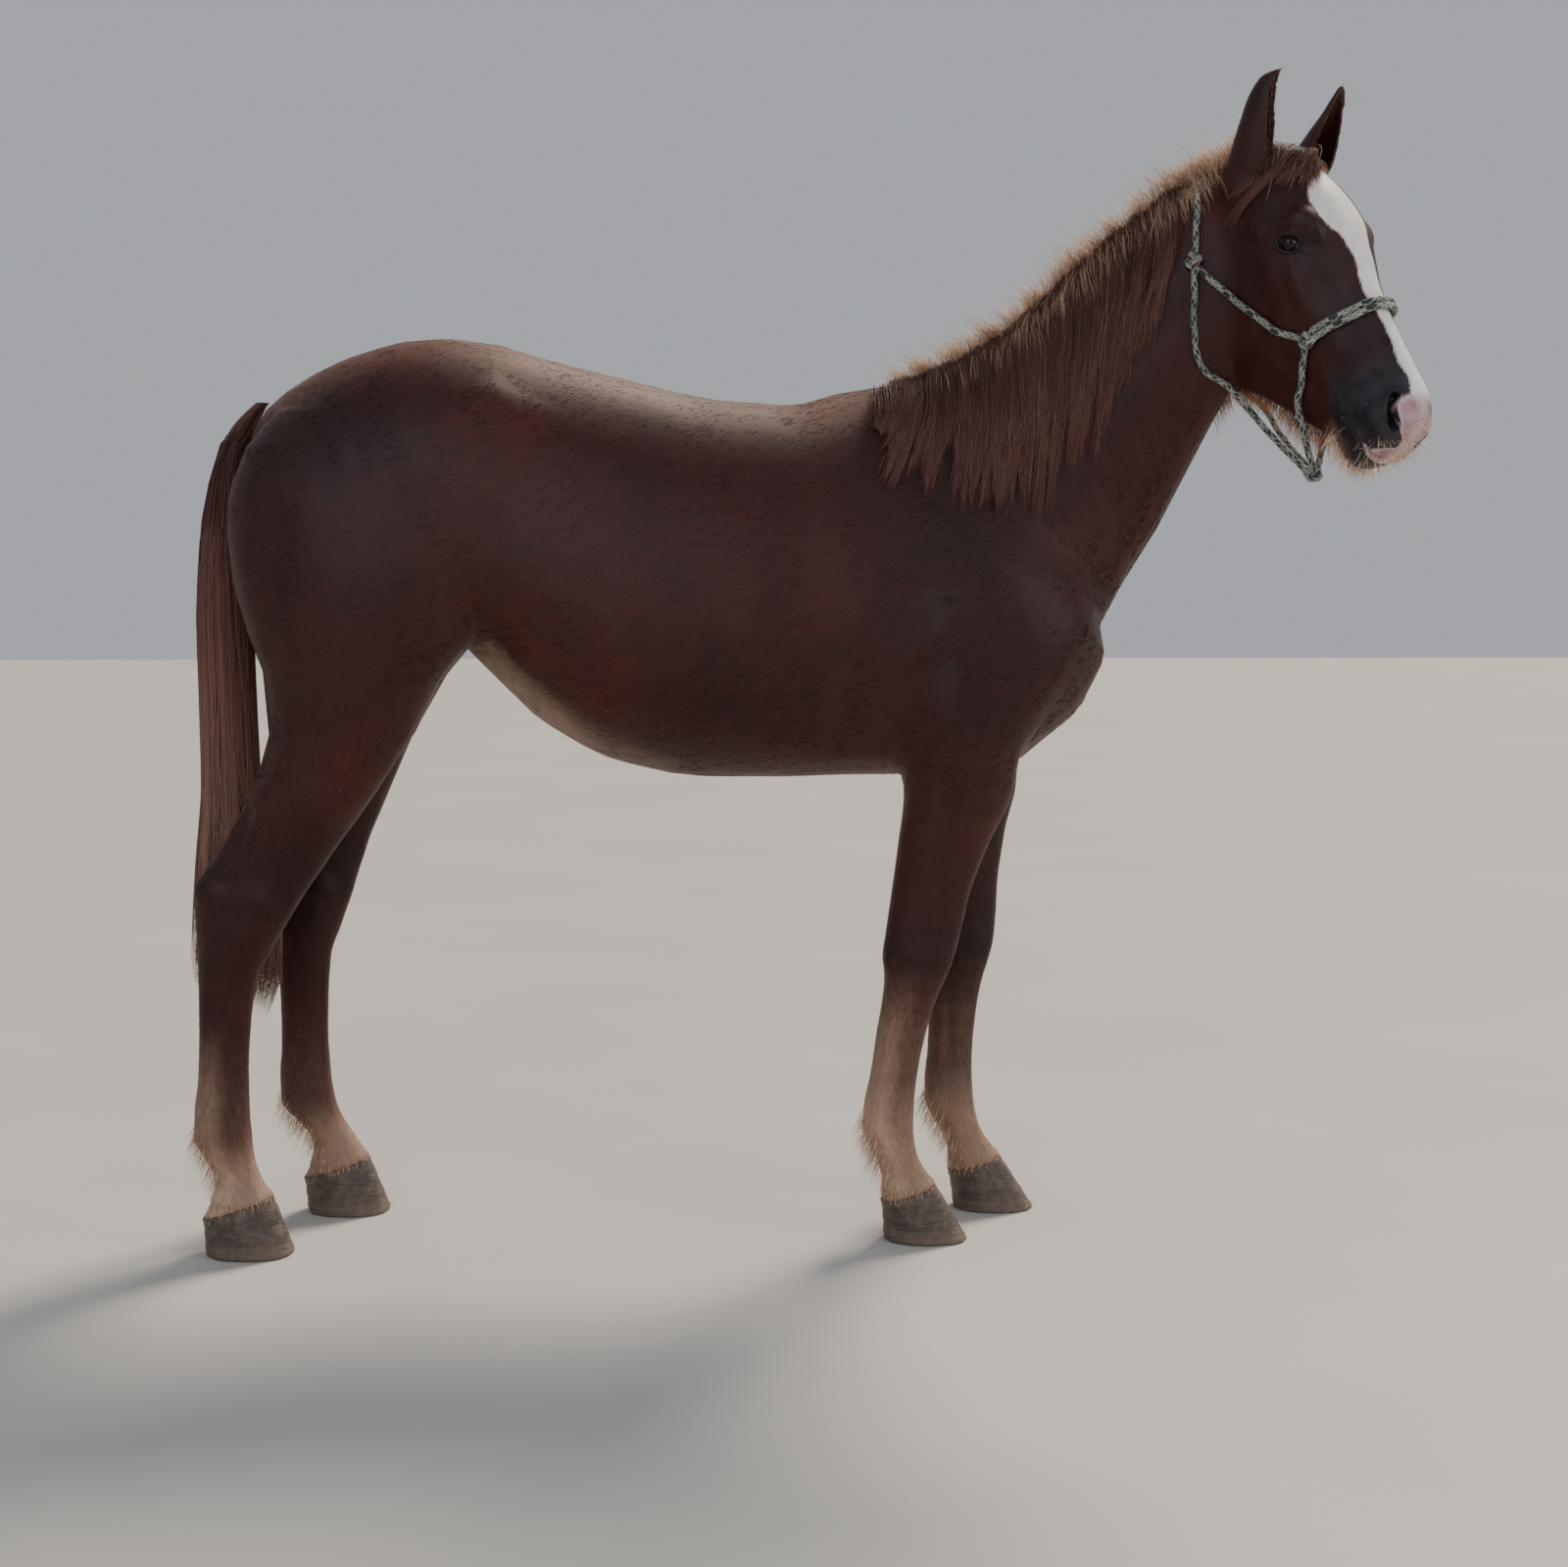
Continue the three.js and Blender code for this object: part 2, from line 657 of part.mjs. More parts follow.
// The forelock falls from the poll to the right of the forehead and past the temple; its outline
// in the head's own axes, down the face and out of the forehead.
const forelockOutline = [
  [-26, 40], [40, 44], [96, 40], [120, 12], [104, -14], [98, -58], [108, -96], [86, -132],
  [72, -100], [48, -84], [18, -52], [-26, -62],
];
const FORELOCK_DEPTH = 17;

function forelockSolid() {
  const block = slab(forelockOutline, -30, 130,
    new THREE.Matrix4().multiplyMatrices(toHead, sideOn));
  return headSolid(COAT + FORELOCK_DEPTH).intersect(block);
}

// ------------------------------------------------------------------- halter

const ROPE = 5; // radius
const NOSE_ROPE = 8; // radius of the doubled rope over the nose
const KNOT = 14; // radius
const ROPE_SIDES = 6;

/** A rope of the given radius through the points, `steps` lengths long. */
function rope(points, radius, steps) {
  const curve = new THREE.CatmullRomCurve3(points);
  const frames = curve.computeFrenetFrames(steps, false);
  return loft(Array.from({ length: steps + 1 }, (_, k) => {
    const middle = curve.getPointAt(k / steps);
    return Array.from({ length: ROPE_SIDES }, (_, i) => {
      const turn = (2 * Math.PI * i) / ROPE_SIDES;
      return middle.clone()
        .addScaledVector(frames.normals[k], radius * Math.cos(turn))
        .addScaledVector(frames.binormals[k], radius * Math.sin(turn));
    });
  }));
}

function knotSolid(place, radius) {
  const ball = new THREE.IcosahedronGeometry(radius, 1);
  ball.applyMatrix4(new THREE.Matrix4().makeTranslation(place));
  return solidOf(ball);
}

// -------------------------------------------------------------------- flesh

const flesh = (grow) => joined([
  trunkSolid(grow),
  neckSolid(grow),
  headSolid(grow),
  browSolid(-1, grow),
  browSolid(1, grow),
  earRootSolid(-1, grow - 2),
  earRootSolid(1, grow - 2),
  legSolid(hindLeg, hindLead, -1, grow),
  legSolid(hindLeg, hindLead, 1, grow),
  legSolid(foreLeg, foreLead, -1, grow),
  legSolid(foreLeg, foreLead, 1, grow),
]);
const body = joined([
  flesh(COAT),
  beardSolid(),
  featherSolid(hindLeg, hindLead, -1, HIND_FEATHER),
  featherSolid(hindLeg, hindLead, 1, HIND_FEATHER),
  featherSolid(foreLeg, foreLead, -1, FORE_FEATHER),
  featherSolid(foreLeg, foreLead, 1, FORE_FEATHER),
]).subtract(eyeSolid(-1, GAP)).subtract(eyeSolid(1, GAP));
const clearOfFlesh = flesh(COAT + GAP);

// The rope lies on the coat: places for it are found by looking in at the body.
const skinMesh = new THREE.Mesh(geometryOf(body), new THREE.MeshStandardMaterial({ side: THREE.DoubleSide }));
const looker = new THREE.Raycaster();
function laidOn(from, towards, radius) {
  const heading = towards.clone().sub(from).normalize();
  looker.set(from, heading);
  const [seen] = looker.intersectObject(skinMesh);
  return seen.point.clone().addScaledVector(heading, -(radius + GAP));
}

// The headstall goes round the neck behind the ears, square to the way the neck points there.
const STALL_MIDDLE = new THREE.Vector3(658, -100, 1580);
const STALL_ACROSS = new THREE.Vector3(0.36, 0.93, 0).normalize(); // towards the left side
const stallAt = (degrees) => {
  const turn = THREE.MathUtils.degToRad(degrees);
  const from = STALL_MIDDLE.clone()
    .addScaledVector(STALL_ACROSS, 400 * Math.sin(turn))
    .add(new THREE.Vector3(0, 0, 400 * Math.cos(turn)));
  return laidOn(from, STALL_MIDDLE, ROPE);
};
const onCheek = (side, x, z, radius = ROPE) =>
  laidOn(inHead(x, side * 300, z), inHead(x, 0, z), radius);
const roundNose = (degrees) => {
  const turn = THREE.MathUtils.degToRad(degrees);
  const middle = inHead(300, 0, -95);
  return laidOn(inHead(300, 300 * Math.sin(turn), -95 + 300 * Math.cos(turn)), middle, NOSE_ROPE);
};

const CHEEK_KNOT_TURN = 88; // degrees round the headstall from the crest
const cheekKnot = (side) => stallAt(side * CHEEK_KNOT_TURN);
const noseKnot = (side) => onCheek(side, 302, -95, NOSE_ROPE);
const chinKnot = inHead(458, 0, -218);

const crownRope = (radius) =>
  rope([-CHEEK_KNOT_TURN, -62, -40, -20, 0, 20, 40, 62, CHEEK_KNOT_TURN].map(stallAt), radius, 11);
const cheekRope = (side, radius) => rope([
  cheekKnot(side), onCheek(side, 128, -184), onCheek(side, 165, -173), onCheek(side, 221, -150),
  onCheek(side, 262, -132), noseKnot(side)], radius, 7);
const throatRope = (side) => rope([
  cheekKnot(side), stallAt(side * 112), stallAt(side * 134), stallAt(side * 150),
  ...(side < 0 ? [inHead(238, -94, -264), inHead(272, -40, -266)] : [inHead(262, 36, -288)]),
  inHead(310, side * 24, -262), inHead(376, side * 13, -247), inHead(452, side * 7, -222)], ROPE, 11);
const chinRope = (side) => rope([
  noseKnot(side), onCheek(side, 330, -128), inHead(366, side * 46, -166), inHead(412, side * 25, -192),
  inHead(452, side * 7, -210)], ROPE, 6);
const noseRope = rope([noseKnot(-1), ...[-62, -40, -18, 0, 18, 40, 62].map(roundNose), noseKnot(1)], NOSE_ROPE, 10);

// --------------------------------------------------------------------- cuts

/** Parts a solid along a plane, leaving the thin gap: [what lies on the normal's side, the rest]. */
function parted(solid, place, normal) {
  const n = normal.clone().normalize();
  const offset = n.dot(place);
  return [
    solid.trimByPlane([n.x, n.y, n.z], offset + GAP / 2),
    solid.trimByPlane([-n.x, -n.y, -n.z], -(offset - GAP / 2)),
  ];
}

/** A block between two corners. */
function block(low, high) {
  const size = high.clone().sub(low);
  const box = new THREE.BoxGeometry(size.x, size.y, size.z);
  box.applyMatrix4(new THREE.Matrix4().makeTranslation(low.clone().addScaledVector(size, 0.5)));
  return solidOf(box);
}

/** Cuts both legs of a pair off under a height: [rest, right leg, left leg]. */
function withoutLegs(solid, fromX, toX, height) {
  const low = new THREE.Vector3(fromX, -400, -10);
  const wide = block(low.clone().addScalar(-GAP), new THREE.Vector3(toX + GAP, 400, height + GAP));
  const taken = solid.intersect(block(low, new THREE.Vector3(toX, 400, height)));
  const legs = taken.decompose().filter((leg) => leg.volume() > 1e5);
  const middleY = (leg) => (leg.boundingBox().min[1] + leg.boundingBox().max[1]) / 2;
  legs.sort((a, b) => middleY(a) - middleY(b));
  return [solid.subtract(wide), ...legs];
}

const [headAndNeck, trunkAndLegs] = parted(body, new THREE.Vector3(185, 0, 1400), new THREE.Vector3(0.803, 0, 0.597));
const [headPart, neckPart] = parted(headAndNeck, new THREE.Vector3(634, -102, 1600), new THREE.Vector3(0.86, -0.5, 0.12));
const [trunkAndHind, foreRight, foreLeft] = withoutLegs(trunkAndLegs, 60, 520, 752);
const [trunkPart, hindRight, hindLeft] = withoutLegs(trunkAndHind, -1100, -536, 930);

// -------------------------------------------------------------------- whole

const pieces = [];
function add(name, solid, colour, roughness = 0.6) {
  pieces.push([name, solid, new THREE.MeshStandardMaterial({ color: colour, roughness })]);
}
const CHESTNUT = 0x6e3a2a;
const HAIR = 0x8a5a40;
const HORN = 0x8d8172;
const ROPE_COLOUR = 0xb9bdb0;

add("trunk", trunkPart, CHESTNUT);
add("neck", neckPart, CHESTNUT);
add("head", headPart, CHESTNUT);
add("leg_hind_right", hindRight, CHESTNUT);
add("leg_hind_left", hindLeft, CHESTNUT);
add("leg_fore_right", foreRight, CHESTNUT);
add("leg_fore_left", foreLeft, CHESTNUT);
for (const [side, name] of [[-1, "right"], [1, "left"]]) {
  add(`hoof_hind_${name}`, hoofSolid(hindLeg, hindLead, side, HIND_TOE_RUN), HORN, 0.7);
  add(`hoof_fore_${name}`, hoofSolid(foreLeg, foreLead, side, FORE_TOE_RUN), HORN, 0.7);
  add(`eye_${name}`, eyeSolid(side, 0), 0x17110e, 0.15);
  add(`ear_${name}`, earSolid(side, 0).subtract(clearOfFlesh), CHESTNUT);
}
add("tail", tailSolid().subtract(clearOfFlesh), HAIR);

const knots = new Map();
for (const [side, name] of [[-1, "right"], [1, "left"]]) {
  knots.set(`halter_knot_cheek_${name}`, cheekKnot(side));
  knots.set(`halter_knot_nose_${name}`, noseKnot(side));
}
knots.set("halter_knot_chin", chinKnot);
const clearOfKnots = joined([...knots.values()].map((place) => knotSolid(place, KNOT + GAP)));
const ropeLeft = (solid) => solid.subtract(clearOfKnots).subtract(clearOfFlesh);
add("halter_crown", ropeLeft(crownRope(ROPE)), ROPE_COLOUR);
add("halter_noseband", ropeLeft(noseRope), ROPE_COLOUR);
for (const [side, name] of [[-1, "right"], [1, "left"]]) {
  add(`halter_cheek_${name}`, ropeLeft(cheekRope(side, ROPE)), ROPE_COLOUR);
  add(`halter_throat_${name}`, ropeLeft(throatRope(side)).subtract(cheekRope(side, ROPE + GAP)), ROPE_COLOUR);
  add(`halter_chin_${name}`, ropeLeft(chinRope(side)), ROPE_COLOUR);
}
for (const [name, place] of knots) {
  add(name, knotSolid(place, KNOT).subtract(clearOfFlesh), ROPE_COLOUR);
}
const clearOfEars = earSolid(-1, 3, true).add(earSolid(1, 3, true));
const clearOfCrown = crownRope(ROPE + GAP);
add("mane", maneSolid().subtract(clearOfFlesh).subtract(clearOfCrown).subtract(clearOfEars), HAIR);
add("forelock", forelockSolid().subtract(clearOfFlesh).subtract(clearOfEars), HAIR);

// The origin goes to the middle of the underside of the whole.
const whole = new THREE.Box3();
for (const [, solid] of pieces) {
  const { min, max } = solid.boundingBox();
  whole.expandByPoint(new THREE.Vector3(...min)).expandByPoint(new THREE.Vector3(...max));
}
const middle = whole.getCenter(new THREE.Vector3());
const horse = new THREE.Group();
for (const [name, solid, material] of pieces) {
  const moved = mainBody(solid).translate([-middle.x, -middle.y, -whole.min.z]);
  const mesh = new THREE.Mesh(geometryOf(moved), material);
  mesh.name = name;
  horse.add(mesh);
}
export default horse;
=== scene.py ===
"""A young chestnut horse standing square in a rope halter, as a still, life-size model.

Tables and places are in millimetres in the animal's own frame: +x is the way it faces, +y its left
side, +z up, with the ground at z = 0. `placed` turns them to metres in the model's frame.
"""
import math
from functools import partial

import bmesh
import bpy
import numpy as np
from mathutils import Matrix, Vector
from mathutils.bvhtree import BVHTree


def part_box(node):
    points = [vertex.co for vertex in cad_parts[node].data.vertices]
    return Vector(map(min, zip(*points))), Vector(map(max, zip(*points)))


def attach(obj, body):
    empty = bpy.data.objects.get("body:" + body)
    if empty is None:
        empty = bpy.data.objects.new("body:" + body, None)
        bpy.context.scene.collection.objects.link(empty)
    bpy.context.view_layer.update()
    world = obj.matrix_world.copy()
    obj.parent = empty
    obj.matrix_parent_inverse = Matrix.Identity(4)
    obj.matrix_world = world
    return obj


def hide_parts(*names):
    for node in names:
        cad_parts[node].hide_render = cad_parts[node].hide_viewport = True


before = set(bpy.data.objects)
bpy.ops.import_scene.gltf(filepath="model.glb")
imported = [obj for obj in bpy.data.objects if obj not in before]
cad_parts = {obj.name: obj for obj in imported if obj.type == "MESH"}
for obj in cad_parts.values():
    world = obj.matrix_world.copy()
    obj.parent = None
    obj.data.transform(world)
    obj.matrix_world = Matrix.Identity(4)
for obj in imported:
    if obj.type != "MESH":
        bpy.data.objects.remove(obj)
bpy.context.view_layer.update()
chance = np.random.default_rng(7)


# ---------------------------------------------------------------- profiles


def smooth_through(xs, ys):
    """Monotone cubic through (xs, ys): smooth, and never past its own points."""
    xs, ys = np.asarray(xs, float), np.asarray(ys, float)
    rise = np.diff(ys) / np.diff(xs)
    slope = np.zeros_like(ys)
    slope[0], slope[-1] = rise[0], rise[-1]
    product, total = rise[:-1] * rise[1:], rise[:-1] + rise[1:]
    slope[1:-1] = np.where(product > 0, 2 * product / np.where(product > 0, total, 1), 0)

    def at(x):
        x = np.clip(x, xs[0], xs[-1])
        i = np.clip(np.searchsorted(xs, x) - 1, 0, len(xs) - 2)
        h = xs[i + 1] - xs[i]
        t = (x - xs[i]) / h
        u = 1 - t
        return (ys[i] * u * u * (1 + 2 * t) + ys[i + 1] * t * t * (3 - 2 * t)
                + h * t * u * (slope[i] * u - slope[i + 1] * t))

    return at


def profile(rows):
    """Rows of [place, size, size, ...] as a function from place to the smoothed sizes."""
    rows = np.asarray(rows, float)
    columns = [smooth_through(rows[:, 0], rows[:, c]) for c in range(1, rows.shape[1])]

    def at(place):
        return [column(place) for column in columns]

    at.first = rows[0, 0]
    return at


def power(value, exponent):
    return np.sign(value) * np.abs(value) ** exponent


def unit(v):
    v = np.asarray(v, float)
    return v / np.maximum(np.linalg.norm(v, axis=-1, keepdims=True), 1e-12)


def columns(*values):
    """Arrays and numbers side by side as the columns of one array."""
    return np.stack(np.broadcast_arrays(*values), 1)


def between(value, low, high):
    """0 below low, 1 above high, smooth between (or the other way round)."""
    t = np.clip((value - low) / (high - low), 0, 1)
    return t * t * (3 - 2 * t)


# Along the body from buttock to breast: top line, under line, half width, height of the widest
# place, and how square the section is above and below that height (2 is an ellipse).
trunk = profile([
    [-866, 1290, 1150, 40, 1215, 2.0, 2.0],
    [-856, 1326, 1095, 78, 1210, 2.0, 2.0],
    [-828, 1368, 1040, 122, 1200, 2.0, 2.0],
    [-765, 1412, 1004, 172, 1195, 2.1, 2.0],
    [-680, 1450, 985, 208, 1200, 2.2, 2.0],
    [-600, 1470, 1000, 226, 1215, 2.2, 2.0],
    [-545, 1474, 992, 230, 1215, 2.1, 2.0],
    [-470, 1466, 926, 230, 1190, 2.0, 2.0],
    [-385, 1443, 848, 236, 1120, 2.0, 2.1],
    [-255, 1411, 786, 244, 1060, 2.0, 2.2],
    [-120, 1381, 765, 244, 1040, 2.0, 2.2],
    [0, 1372, 764, 236, 1040, 1.9, 2.2],
    [95, 1392, 767, 218, 1040, 1.7, 2.2],
    [190, 1404, 768, 200, 1030, 1.6, 2.1],
    [290, 1392, 770, 190, 1020, 1.7, 2.1],
    [370, 1330, 782, 180, 1010, 1.9, 2.0],
    [440, 1235, 832, 160, 1005, 2.0, 2.0],
    [488, 1130, 874, 122, 995, 2.0, 2.0],
    [510, 1050, 918, 70, 985, 2.0, 2.0],
])

# Along the neck, by share of its length: the crest's x and z, the throat line's x and z, how far
# the neck has swung to the right, half width, and how square the section is above.
neck = profile([
    [0.0, 150, 1335, 330, 900, 0, 120, 2.0],
    [0.14, 215, 1400, 455, 940, 0, 140, 1.9],
    [0.28, 290, 1436, 522, 1010, 4, 128, 1.8],
    [0.42, 365, 1480, 569, 1098, 14, 108, 1.7],
    [0.56, 436, 1543, 610, 1171, 32, 90, 1.7],
    [0.7, 512, 1613, 645, 1248, 54, 77, 1.7],
    [0.84, 596, 1678, 684, 1336, 82, 68, 1.8],
    [1.0, 682, 1732, 738, 1440, 112, 60, 1.9],
])
NECK_WIDEST = 0.42

# The head's own axes: s runs down the face from the poll, y is its left, z stands out of the
# forehead. It is carried at this place and turned to the right.
POLL = np.array([797.0, -180.0, 1758.0])
YAW, PITCH = math.radians(52), math.radians(61)
HEAD_AXES = np.array([
    [math.cos(PITCH) * math.cos(YAW), -math.cos(PITCH) * math.sin(YAW), -math.sin(PITCH)],
    [math.sin(YAW), math.cos(YAW), 0],
    [math.sin(PITCH) * math.cos(YAW), -math.sin(PITCH) * math.sin(YAW), math.cos(PITCH)],
])


def in_head(*place):
    """From the head's own axes to the animal's frame."""
    return POLL + np.asarray(place if len(place) == 3 else place[0], float) @ HEAD_AXES


def to_head(points):
    return (np.asarray(points, float) - POLL) @ HEAD_AXES.T


# Down the face: front line, jaw line, and half widths at five depths from the front to the jaw.
HEAD_DEPTHS = [0.05, 0.28, 0.52, 0.76, 0.95]
HEAD_ROUNDNESS = 0.62
head = profile([
    [-30, -48, -150, 34, 52, 58, 52, 36],
    [10, -14, -180, 48, 64, 70, 62, 40],
    [60, 6, -218, 62, 80, 78, 66, 42],
    [115, 18, -256, 84, 95, 82, 68, 42],
    [165, 21, -286, 88, 100, 82, 68, 42],
    [215, 14, -298, 72, 88, 76, 66, 40],
    [261, 6, -280, 56, 72, 68, 60, 37],
    [302, 3, -242, 47, 62, 60, 52, 34],
    [345, 2, -212, 42, 54, 52, 44, 31],
    [392, 2, -184, 41, 50, 48, 39, 29],
    [430, 2, -160, 44, 52, 49, 38, 29],
    [462, -2, -150, 47, 56, 50, 40, 31],
    [486, -13, -148, 45, 54, 49, 39, 31],
    [502, -36, -134, 37, 45, 42, 33, 26],
    [511, -62, -110, 22, 29, 28, 23, 17],
])

# Up each leg: back line, front line, distance of its middle from the body's middle, half width,
# and how much the section tips forward towards the coronet.
hind_leg = profile([
    [78, -946, -835, 113, 42, 0.3],
    [98, -932, -845, 113, 36, 0.25],
    [130, -926, -856, 114, 31, 0.1],
    [160, -940, -863, 115, 34, 0],
    [195, -956, -866, 115, 37, 0],
    [235, -955, -868, 115, 32, 0],
    [290, -948, -868, 115, 27, 0],
    [380, -944, -862, 115, 26, 0],
    [450, -943, -850, 115, 30, 0],
    [500, -943, -824, 115, 38, 0],
    [545, -945, -798, 116, 43, 0],
    [590, -946, -770, 118, 43, 0],
    [618, -934, -750, 119, 41, 0],
    [660, -903, -721, 121, 44, 0],
    [720, -868, -676, 125, 52, 0],
    [790, -834, -628, 128, 63, 0],
    [860, -818, -584, 130, 77, 0],
    [930, -822, -548, 131, 93, 0],
    [1010, -848, -492, 130, 108, 0],
    [1100, -870, -468, 127, 117, 0],
    [1190, -876, -490, 120, 116, 0],
    [1280, -852, -545, 108, 100, 0],
    [1350, -800, -600, 95, 70, 0],
])
fore_leg = profile([
    [80, 158, 246, 85, 41, 0.3],
    [100, 160, 234, 85, 34, 0.25],
    [125, 154, 222, 85, 31, 0.1],
    [152, 140, 214, 85, 33, 0],
    [188, 126, 210, 85, 37, 0],
    [225, 128, 211, 85, 33, 0],
    [275, 138, 216, 85, 27, 0],
    [350, 149, 231, 85, 27, 0],
    [405, 158, 248, 85, 33, 0],
    [440, 161, 263, 85, 41, 0],
    [475, 158, 276, 85, 41, 0],
    [515, 163, 286, 86, 38, 0],
    [580, 172, 301, 87, 40, 0],
    [660, 182, 330, 91, 48, 0],
    [740, 190, 366, 97, 58, 0],
    [810, 182, 378, 105, 70, 0],
    [880, 160, 422, 112, 80, 0],
    [970, 130, 474, 115, 82, 0],
    [1070, 105, 452, 110, 80, 0],
    [1180, 110, 370, 95, 70, 0],
    [1270, 130, 300, 75, 50, 0],
])
# How far each left leg stands ahead of its right fellow, by height.
hind_lead = smooth_through([0, 110, 200, 430, 540, 660, 760, 850, 960, 1250],
                           [122, 118, 93, 79, 60, 20, -10, -26, -18, 0])
fore_lead = smooth_through([0, 100, 188, 460, 600, 740, 810, 900, 1100],
                           [138, 132, 124, 92, 68, 38, 30, 12, 0])

EYE = np.array([158.0, 78.0, -51.0])
EYE_RADIUS = 20.0
# The bony arch over each eye, as a lens-shaped swelling.
BROW, BROW_SIZE = np.array([150.0, 60.0, -22.0]), np.array([40.0, 34.0, 27.0])

# An ear is a curved leaf, open in front: up its length, half width, half opening of the curl in
# degrees from the back, and how far the middle line bows forwards and outwards.
ears = {
    -1: profile([
        [0.0, 26, 168, 0], [0.12, 29, 150, 0], [0.3, 30, 136, -1], [0.5, 28, 124, -5],
        [0.7, 24, 112, -10], [0.86, 18, 102, -11], [0.96, 8, 94, -6], [1.0, 2, 90, 0],
    ]),
    1: profile([
        [0.0, 26, 168, 0], [0.12, 30, 150, 2], [0.3, 31, 136, 5], [0.5, 26, 124, 9],
        [0.7, 18, 112, 11], [0.86, 12, 102, 9], [0.96, 7, 94, 5], [1.0, 2, 90, 1],
    ]),
}
EAR_FOOT = np.array([22.0, 70.0, -80.0])
EAR_TIPS = {-1: np.array([-80.0, 73.0, 62.0]), 1: np.array([-82.0, 78.0, 62.0])}
EAR_DEEP = 1.25  # how much deeper the curl is than it is wide
EAR_THICKNESS = 5.5
# The fleshy root that the ear stands in: up the ear's length, half width, and how far it lies in
# towards the middle of the head.
ear_root = profile([
    [-0.42, 20, 30],
    [-0.25, 33, 16],
    [-0.08, 33, 5],
    [0.08, 27, 0],
    [0.16, 14, 2],
])

# The animal's frame is moved so that the model's origin is the middle of its underside; the eye
# says by how much.
eye_low, eye_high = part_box("eye_right")
SHIFT = np.array((eye_low + eye_high) / 2) - in_head(EYE * [1, -1, 1]) / 1000


def placed(points):
    """Millimetres in the animal's frame to metres in the model's frame."""
    return np.asarray(points, float) / 1000 + SHIFT


def unplaced(points):
    return (np.asarray(points, float) - SHIFT) * 1000


# ------------------------------------------------------------- mesh helpers


def mesh_of(name, points, *face_sets):
    """A smooth mesh from points in metres and arrays of faces, each array of one size of face."""
    mesh = bpy.data.meshes.new(name)
    corners = np.concatenate([np.ravel(f) for f in face_sets]).astype(np.int32)
    sizes = np.concatenate([np.full(len(f), np.shape(f)[1]) for f in face_sets])
    starts = np.concatenate([[0], np.cumsum(sizes)[:-1]]).astype(np.int32)
    mesh.vertices.add(len(points))
    mesh.vertices.foreach_set("co", np.asarray(points, np.float32).ravel())
    mesh.loops.add(len(corners))
    mesh.loops.foreach_set("vertex_index", corners)
    mesh.polygons.add(len(sizes))
    mesh.polygons.foreach_set("loop_start", starts)
    mesh.update(calc_edges=True)
    mesh.shade_smooth()
    return mesh


def object_of(data, material=None):
    piece = bpy.data.objects.new(data.name, data)
    bpy.context.scene.collection.objects.link(piece)
    if material:
        data.materials.append(material)
    return piece


def read(items, name, width=1, kind=np.float32):
    """One property of all a mesh's vertices, edges, loops or faces."""
    out = np.empty(len(items) * width, kind)
    items.foreach_get(name, out)
    return out


def points_of(mesh):
    return read(mesh.vertices, "co", 3).reshape(-1, 3).astype(float)


def normals_of(mesh):
    return read(mesh.vertex_normals, "vector", 3).reshape(-1, 3).astype(float)


def loops_of(mesh):
    return read(mesh.loops, "vertex_index", kind=np.int32)


def move_to(mesh, points):
    """Puts the mesh's vertices at these places in the animal's frame."""
    mesh.vertices.foreach_set("co", placed(points).astype(np.float32).ravel())
    mesh.update()


def finished_mesh(piece):
    """The piece's mesh with its modifiers worked into it."""
    evaluated = piece.evaluated_get(bpy.context.evaluated_depsgraph_get())
    made = bpy.data.meshes.new_from_object(evaluated)
    old = piece.data
    piece.modifiers.clear()
    piece.data = made
    bpy.data.meshes.remove(old)
    return made


def loft(rings):
    """Points, quads and end fans of a closed loft through rings of equal length."""
    rings = np.asarray(rings)
    count, sides = rings.shape[:2]
    points = np.vstack([rings.reshape(-1, 3), rings[0].mean(0), rings[-1].mean(0)])
    r, i = (a.ravel() for a in np.meshgrid(np.arange(count - 1), np.arange(sides), indexing="ij"))
    j = (i + 1) % sides
    quads = np.stack([r * sides + i, r * sides + j, (r + 1) * sides + j, (r + 1) * sides + i], 1)
    i, j = np.arange(sides), (np.arange(sides) + 1) % sides
    end = (count - 1) * sides
    first = count * sides
    fans = np.vstack([np.stack([np.full(sides, first), j, i], 1),
                      np.stack([np.full(sides, first + 1), end + i, end + j], 1)])
    corner = points[quads[:, 0]]
    across = np.cross(points[quads[:, 1]] - corner, points[quads[:, 3]] - corner)
    if np.sum(across * (corner - points.mean(0))) < 0:
        quads, fans = quads[:, ::-1], fans[:, ::-1]
    return points, quads, fans


# -------------------------------------------------------------- flesh rings


def turns(sides):
    turn = np.arange(sides) * 2 * math.pi / sides
    return np.cos(turn), np.sin(turn)


def trunk_ring(x, sides=96):
    c, s = turns(sides)
    top, bottom, half, widest, above, below = trunk(x)
    roundness = np.where(s > 0, 2 / above, 2 / below)
    reach = np.where(s > 0, top - widest, widest - bottom)
    return columns(x, half * power(c, roundness), widest + reach * power(s, roundness))


def neck_ring(share, sides=72):
    c, s = turns(sides)
    crest_x, crest_z, throat_x, throat_z, swing, half, above = neck(share)
    before, after = neck(share - 0.02), neck(share + 0.02)
    heading = np.array([after[0] + after[2] - before[0] - before[2], 2 * (before[4] - after[4]), 0])
    side = unit([-heading[1], heading[0], 0])
    throat = np.array([throat_x, -swing, throat_z])
    up = np.array([crest_x, -swing, crest_z]) - throat
    depth = np.linalg.norm(up)
    up = up / depth
    roundness = np.where(s > 0, 2 / above, 1)
    reach = np.where(s > 0, depth * (1 - NECK_WIDEST), depth * NECK_WIDEST)
    return (throat + up * depth * NECK_WIDEST + np.outer(half * power(c, roundness), side)
            + np.outer(reach * power(s, roundness), up))


